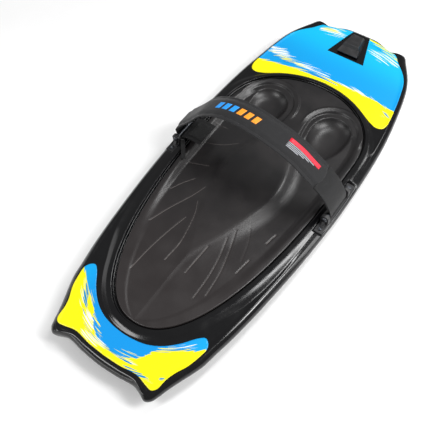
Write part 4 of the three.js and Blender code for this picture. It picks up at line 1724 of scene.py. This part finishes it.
@dataclass(frozen=True)
class StrapCover:
    """The padded sleeve: crowned between bound edges, with a line of stitches inside each."""

    form: StrapForm
    thick: float = 11.0
    bound: float = 8.5
    edge: float = 4.0
    rows: int = 330
    half_columns: int = 60
    stitch_pitch: float = 4.2
    stitch: float = 2.9
    thread_radius: float = 0.42

    def section(self, u: Array, across: Array, length: float) -> Array:
        """Half thickness of the cover at a length along it and a place across it.

        A crown that swells to half the thickness, thin bound edges with a round rim, a stitched
        furrow where they meet, and a rounded taper at each end.

        Args:
            u: lengths along the cover.
            across: places across it.
            length: the cover's whole length.

        Returns:
            The half thickness at each place.
        """
        half = self.form.width / 2
        inner = half - np.abs(across)
        rim = np.sqrt(np.clip(1 - (1 - np.clip(inner / 2.0, 0, 1)) ** 2, 0, 1))
        crown = (self.thick / 2 - self.edge / 2) * ease(self.bound - 1.5, self.bound + 13.0, inner)
        furrow = 0.55 * np.exp(-(((inner - self.bound) / 1.3) ** 2))
        ends = np.minimum(u, length - 13.0 * (across / half) ** 2 - u)
        closing = np.sqrt(np.clip(1 - (1 - np.clip(ends / 9.0, 0, 1)) ** 2, 0, 1))
        return (self.edge / 2 * rim + crown * closing - furrow) * np.clip(ends / 1.5, 0, 1) ** 0.5

    def surface(self, line: Array, length: float) -> Surface:
        """The sleeve's outer and inner faces round its line, with slight puckers by the stitches.

        Args:
            line: the sleeve's line as (x, z) rows.
            length: its length.

        Returns:
            The closed surface.
        """
        share = np.sin(np.linspace(-math.pi / 2, math.pi / 2, self.half_columns))
        half = self.form.width / 2
        across = np.concatenate([share * half, share[-2:0:-1] * half])
        outer = np.concatenate([np.ones(len(share)), -np.ones(len(share) - 2)])
        u = np.linspace(0.0, length, len(line))[:, None]
        thickness = self.section(u, across[None], length)
        near = np.exp(-(((half - np.abs(across) - self.bound) / 5.0) ** 2))
        pucker = 0.28 * np.sin(u / 5.1 + 0.9 * np.sin(across / 9)) * near
        lift = np.maximum(thickness + pucker * (thickness > 1.0), 0.0) * outer
        return swept(line, np.repeat(across[None], len(line), axis=0), lift, self.form.middle)

    def stitches(self, line: Array, length: float) -> Surface:
        """Short threads along both edges, outside and inside, each a bowed six-sided rod.

        Args:
            line: the cover's line as (x, z) rows.
            length: its length.

        Returns:
            All the threads as one surface.
        """
        radius = self.thread_radius
        starts = np.arange(14.0, length - 26.0, self.stitch_pitch)
        rod_u = np.array([-0.5, -0.3, 0.0, 0.3, 0.5]) * self.stitch
        bow = np.array([-0.5, 0.1, 0.25, 0.1, -0.5])
        fat = np.array([0.0, 1.0, 1.0, 1.0, 0.0])
        turn = np.linspace(0, 2 * math.pi, 6, endpoint=False)
        out, up = fat[:, None] * radius * np.cos(turn), fat[:, None] * radius * np.sin(turn)
        rod = grid_faces(len(fat), len(turn))
        first = np.arange(len(starts)) * out.size
        faces = (rod[None] + first[:, None, None]).reshape(-1, 4)
        u = starts[:, None] + rod_u
        parts = []
        for edge, face in ((-1, -1), (-1, 1), (1, -1), (1, 1)):
            place = edge * (self.form.width / 2 - self.bound)
            level = self.section(u, np.full(u.shape, place), length) + bow * 0.5
            h = face * (level[..., None] + up)
            x, z = self.form.above(line, length, u[..., None], h)
            y = np.broadcast_to(self.form.middle + place + out, x.shape)
            points = np.stack([x, y, z], axis=-1).reshape(-1, 3)
            parts.append(Surface(points, faces, np.zeros((len(points), 2))))
        return joined(parts)

    def build(self, cloth: Material, thread: Material) -> None:
        """Args:
            cloth: the cover's material.
            thread: the stitching's material.
        """
        line = self.form.stretch(0.0, self.form.cover_share, self.rows)
        length = length_of(line)
        cover = self.surface(line, length).to_object("padded_strap_cover")
        settle(cover, cloth, Body.STRAP, "strap_cover_neoprene", "strap_cover")
        thing = self.stitches(line, length).to_object("strap_stitching")
        settle(thing, thread, Body.STRAP, "strap_cover_neoprene")


@dataclass(frozen=True)
class StrapPrint:
    """Raised prints on the outer face of the cover, as shapes in length along it and place across."""

    form: StrapForm
    cover: StrapCover

    def shape(self, line: Array, length: float, corners: Line, thick: float = 0.7) -> Surface:
        """A four-cornered print, bent with the cover: a bilinear patch with a low round edge.

        Args:
            line: the cover's line as (x, z) rows.
            length: its length.
            corners: four places, each as length along the cover and place across it.
            thick: how far the print stands out.

        Returns:
            The closed surface.
        """
        count = 16
        s, t = np.meshgrid(np.linspace(0, 1, count), np.linspace(0, 1, count), indexing="ij")
        shares = ((1 - s) * (1 - t), s * (1 - t), s * t, (1 - s) * t)
        u, a = (sum(share * corner[k] for share, corner in zip(shares, corners)) for k in (0, 1))
        rim = np.minimum(np.minimum(s, 1 - s), np.minimum(t, 1 - t))
        rise = thick * np.clip(rim * 15, 0, 1) ** 0.5
        under = self.cover.section(u, a, length)
        sheets = []
        for h in (under + 0.15 + rise, under - 0.4):
            x, z = self.form.above(line, length, u, h)
            sheets.append(np.stack([x, self.form.middle + a, z], axis=-1).reshape(-1, 3))
        faces = grid_faces(count, count, around=False)
        order = np.arange(count * count).reshape(count, count)
        ring = np.concatenate([order[0, :-1], order[:-1, -1], order[-1, :0:-1], order[:0:-1, 0]])
        after = np.roll(ring, -1)
        walls = np.stack([ring, after, after + count**2, ring + count**2], axis=1)
        return Surface(np.vstack(sheets), np.vstack([faces, faces[:, ::-1] + count**2, walls]))

    def build(self, inks: dict[str, Material]) -> None:
        """Makes a row of slanted bars, blue then orange, and a red bar over four grey lines.

        Args:
            inks: the print's materials by colour.
        """
        line = self.form.stretch(0.0, self.form.cover_share, self.cover.rows)
        length = length_of(line)
        start, pitch, bar, slant = 190.0, 22.0, 14.5, 5.0
        for ink, first, slot, nodes in (
            ("blue", 0, "badge_blue", ["strap_badge_left"]),
            ("orange", 3, "badge_red", []),
        ):
            starts = [start + pitch * k for k in range(first, first + 3)]
            bars = [
                self.shape(line, length, [(u, -11), (u + bar, -11), (u + bar + slant, 11), (u + slant, 11)])
                for u in starts
            ]
            settle(joined(bars).to_object(f"strap_print_{ink}"), inks[ink], Body.STRAP, slot, *nodes)
        red = self.shape(line, length, [(404, 5), (506, 5), (506, 17), (404, 17)])
        settle(red.to_object("strap_print_red"), inks["red"], Body.STRAP, "badge_red", "strap_badge_right")
        rows = []
        for k in range(4):
            end, low, high = 490 - 16 * k, 1.5 - 4.4 * k, 3.9 - 4.4 * k
            rows.append(self.shape(line, length, [(404, low), (end, low), (end, high), (404, high)], 0.4))
        settle(joined(rows).to_object("strap_print_grey"), inks["grey"], Body.STRAP, "badge_red")


@dataclass(frozen=True)
class StrapWebbing:
    """The webbing at both ends of the strap, its free tail, its fastening tapes and the pull tab."""

    form: StrapForm
    width: float = 79.0
    tape_width: float = 56.0
    tab_width: float = 12.0
    thick: float = 2.4
    right_radius: float = 7.8
    left_radius: float = 8.0

    def right(self) -> Array:
        """One line from the cover round the right bar and back, both legs close together.

        Returns:
            The line as (x, z) rows.
        """
        leg = self.form.stretch(self.form.cover_share - 0.012, 1.0, 14)[:-1]
        normal = sideways(leg)
        x, z = self.form.pivot
        outer, inner = leg + normal * 1.45, leg - normal * 1.45
        turn = np.radians(np.linspace(28, -208, 15))
        ring = np.stack([np.cos(turn), np.sin(turn)], axis=1) * self.right_radius + (x, z)
        path = np.vstack([outer, [(241.6, 98.6)], ring, [(237.4, 95.0)], inner[::-1]])
        return smooth_curve(path, 120)

    def left(self) -> Array:
        """A short line up the outer side of the left bar, round under it and in."""
        x, z = -self.form.pivot[0], self.form.pivot[1]
        turn = np.radians(np.linspace(180, 330, 12))
        ring = np.stack([np.cos(turn), np.sin(turn)], axis=1) * self.left_radius + (x, z)
        path = np.vstack([[(x - 9.6, z + 11.5), (x - 8.4, z + 5.0)], ring])
        return smooth_curve(path, 50)

    def tail(self) -> Array:
        """The line of the free tail inside the arch."""
        return smooth_curve([(-228, 80), (-212, 84), (-192, 86), (-168, 84)], 40)

    def tape(self, node: str, line: Array, finish: Material, body: Body) -> None:
        """Makes and dresses one fastening tape along a line, in place of a node."""
        thing = webbing(line, self.tape_width, 1.5, self.form.middle).to_object(f"{node}_strip")
        settle(thing, finish, body, "hook_and_loop", node)

    def tab(self) -> tuple[Surface, float]:
        """The narrow tab that lies over the pad's rim, and its length."""
        line = smooth_curve([(0, 0), (17, 1), (40, -6.6), (58, -11)], 30)
        place = Matrix.Translation((-222, -2, 76)) @ Matrix.Rotation(math.radians(-52), 4, "Z")
        return moved(webbing(line, self.tab_width, 2.0, 0.0), place), length_of(line)

    def build(self, web: Material, tape: Material) -> None:
        """Args:
            web: the webbing's material.
            tape: the fastening tapes' material.
        """
        tail = self.tail()
        for name, line, body, node, held, side in (
            ("doubled_webbing_right", self.right(), Body.STRAP, "webbing_right", "stretched", Side.RIGHT),
            ("webbing_left", self.left(), Body.BOARD, "webbing_left", "stretched", Side.LEFT),
            ("webbing_tail", tail, Body.TAIL, "tail", "hung", Side.LEFT),
        ):
            thing = webbing(line, self.width, self.thick, self.form.middle).to_object(name)
            settle(thing, web, body, "black_webbing", f"strap_{node}")
        self.tape("hook_tape", (tail + sideways(tail) * 2.4)[10:], tape, Body.TAIL)
        inner = self.form.stretch(4 / 56, 10 / 56, 30)
        self.tape("loop_tape", inner - sideways(inner) * 6.6, tape, Body.STRAP)
        surface, length = self.tab()
        pull = settle(surface.to_object("webbing_pull_tab"), web, Body.BOARD, "black_webbing", "pull_tab")


# ---- The whole ------------------------------------------------------------------------------


def dress_nodes(finishes: dict[str, Material]) -> None:
    """Gives the CAD nodes that stay their finishes, by the first words of their names.

    Args:
        finishes: a material for each beginning of a name.
    """
    for thing in bpy.context.scene.objects:
        for start, finish in finishes.items():
            if thing.type == "MESH" and thing.name.startswith(start):
                slots = thing.data.materials
                for k in range(len(slots)):
                    slots[k] = finish
                if not slots:
                    slots.append(finish)
                LOG.info("%s: %s", thing.name, finish.name)


def main() -> None:
    """Builds the studio, then the board from its hull outwards."""
    logging.basicConfig(level=logging.INFO, format="%(message)s")
    Studio().set_up()
    form = BoardForm()
    relief = PadRelief(form)
    strap = StrapForm()

    nylon = MouldedNylon().build()
    dark_steel = TurnedMetal("blackened_steel", "#5a5c60", "#3a3c40", (0.32, 0.46)).build()
    brass = TurnedMetal("brass", "#c7a458", "#8f7433", (0.3, 0.44)).build()
    # For each cloth the first colour is the thread with its painted highlight, the second the painted shade
    # in its gaps.
    web = Cloth("polyester_webbing", "#0f0f11", "#060607", 2.6, 3.4, 0.35, 0.15).build()
    jersey = Cloth("nylon_jersey_on_neoprene", "#1b1b1d", "#111113", 1.8, 1.5, 0.12, 0.14).build()
    tape = Cloth("hook_and_loop_tape", "#0d0d0e", "#030304", 1.3, 1.3, 0.6, 0.15, 0.95).build()
    thread = Cloth("polyester_thread", "#4a4a4e", "#333336", 0.6, 0.6, 0.05).build()
    yellow = "#f4e800"
    nose_film = PrintedVinyl("printed_vinyl_nose", "#00b4e6", "#0096da", "#0084cc", yellow).build()
    tail_film = PrintedVinyl("printed_vinyl_tail", "#0090dc", "#00a0e2", "#0088c4", yellow).build()
    inks = {
        "blue": RubberPrint("blue_rubber_print", "#2a9df4", "#1b86dc").build(),
        "orange": RubberPrint("orange_rubber_print", "#ffa02c", "#f08a14").build(),
        "red": RubberPrint("red_rubber_print", "#e8203a", "#cf1830").build(),
        "grey": RubberPrint("grey_rubber_print", "#a9abb0", "#8d8f95").build(),
    }

    Hull(form, relief).build(GlossPolyethylene().build())
    FoamCore(form, relief).build(CellFoam().build())
    KneePad(form, relief).build(MouldedFoam().build())
    NoseDecal(
        form, "nose_film", "nose_decal",
        [(57, 611), (107, 600), (128, 593), (146, 573), (162, 558), (180, 537), (194, 512), (205, 474),
         (217, 415), (224, 352), (218, 339), (202, 334), (182, 340), (152, 356), (107, 379), (54, 395),
         (0, 401)],
        [(61, 515), (28, 615)],
    ).build(nose_film)
    TailDecal(
        form, "tail_film", "tail_decal",
        [(0, -601), (46, -599), (94, -593), (126, -600), (143, -602), (152, -593), (156, -565), (163, -542),
         (178, -511), (188, -472), (190, -455), (184, -441), (172, -434), (158, -444), (130, -479),
         (98, -508),
         (65, -525), (28, -533), (0, -535)],
        [],
    ).build(tail_film)
    TowHook(form).build(nylon)
    for side in Side:
        StrapBracket(side).build(nylon, dark_steel)
    cover = StrapCover(strap)
    cover.build(jersey, thread)
    StrapPrint(strap, cover).build(inks)
    StrapWebbing(strap).build(web, tape)
    dress_nodes({
        "fill_plug": nylon,
        "screw_insert": brass,
        "pivot_": dark_steel,
        "strap_bar": dark_steel,
    })


if __name__ == "__main__":
    main()
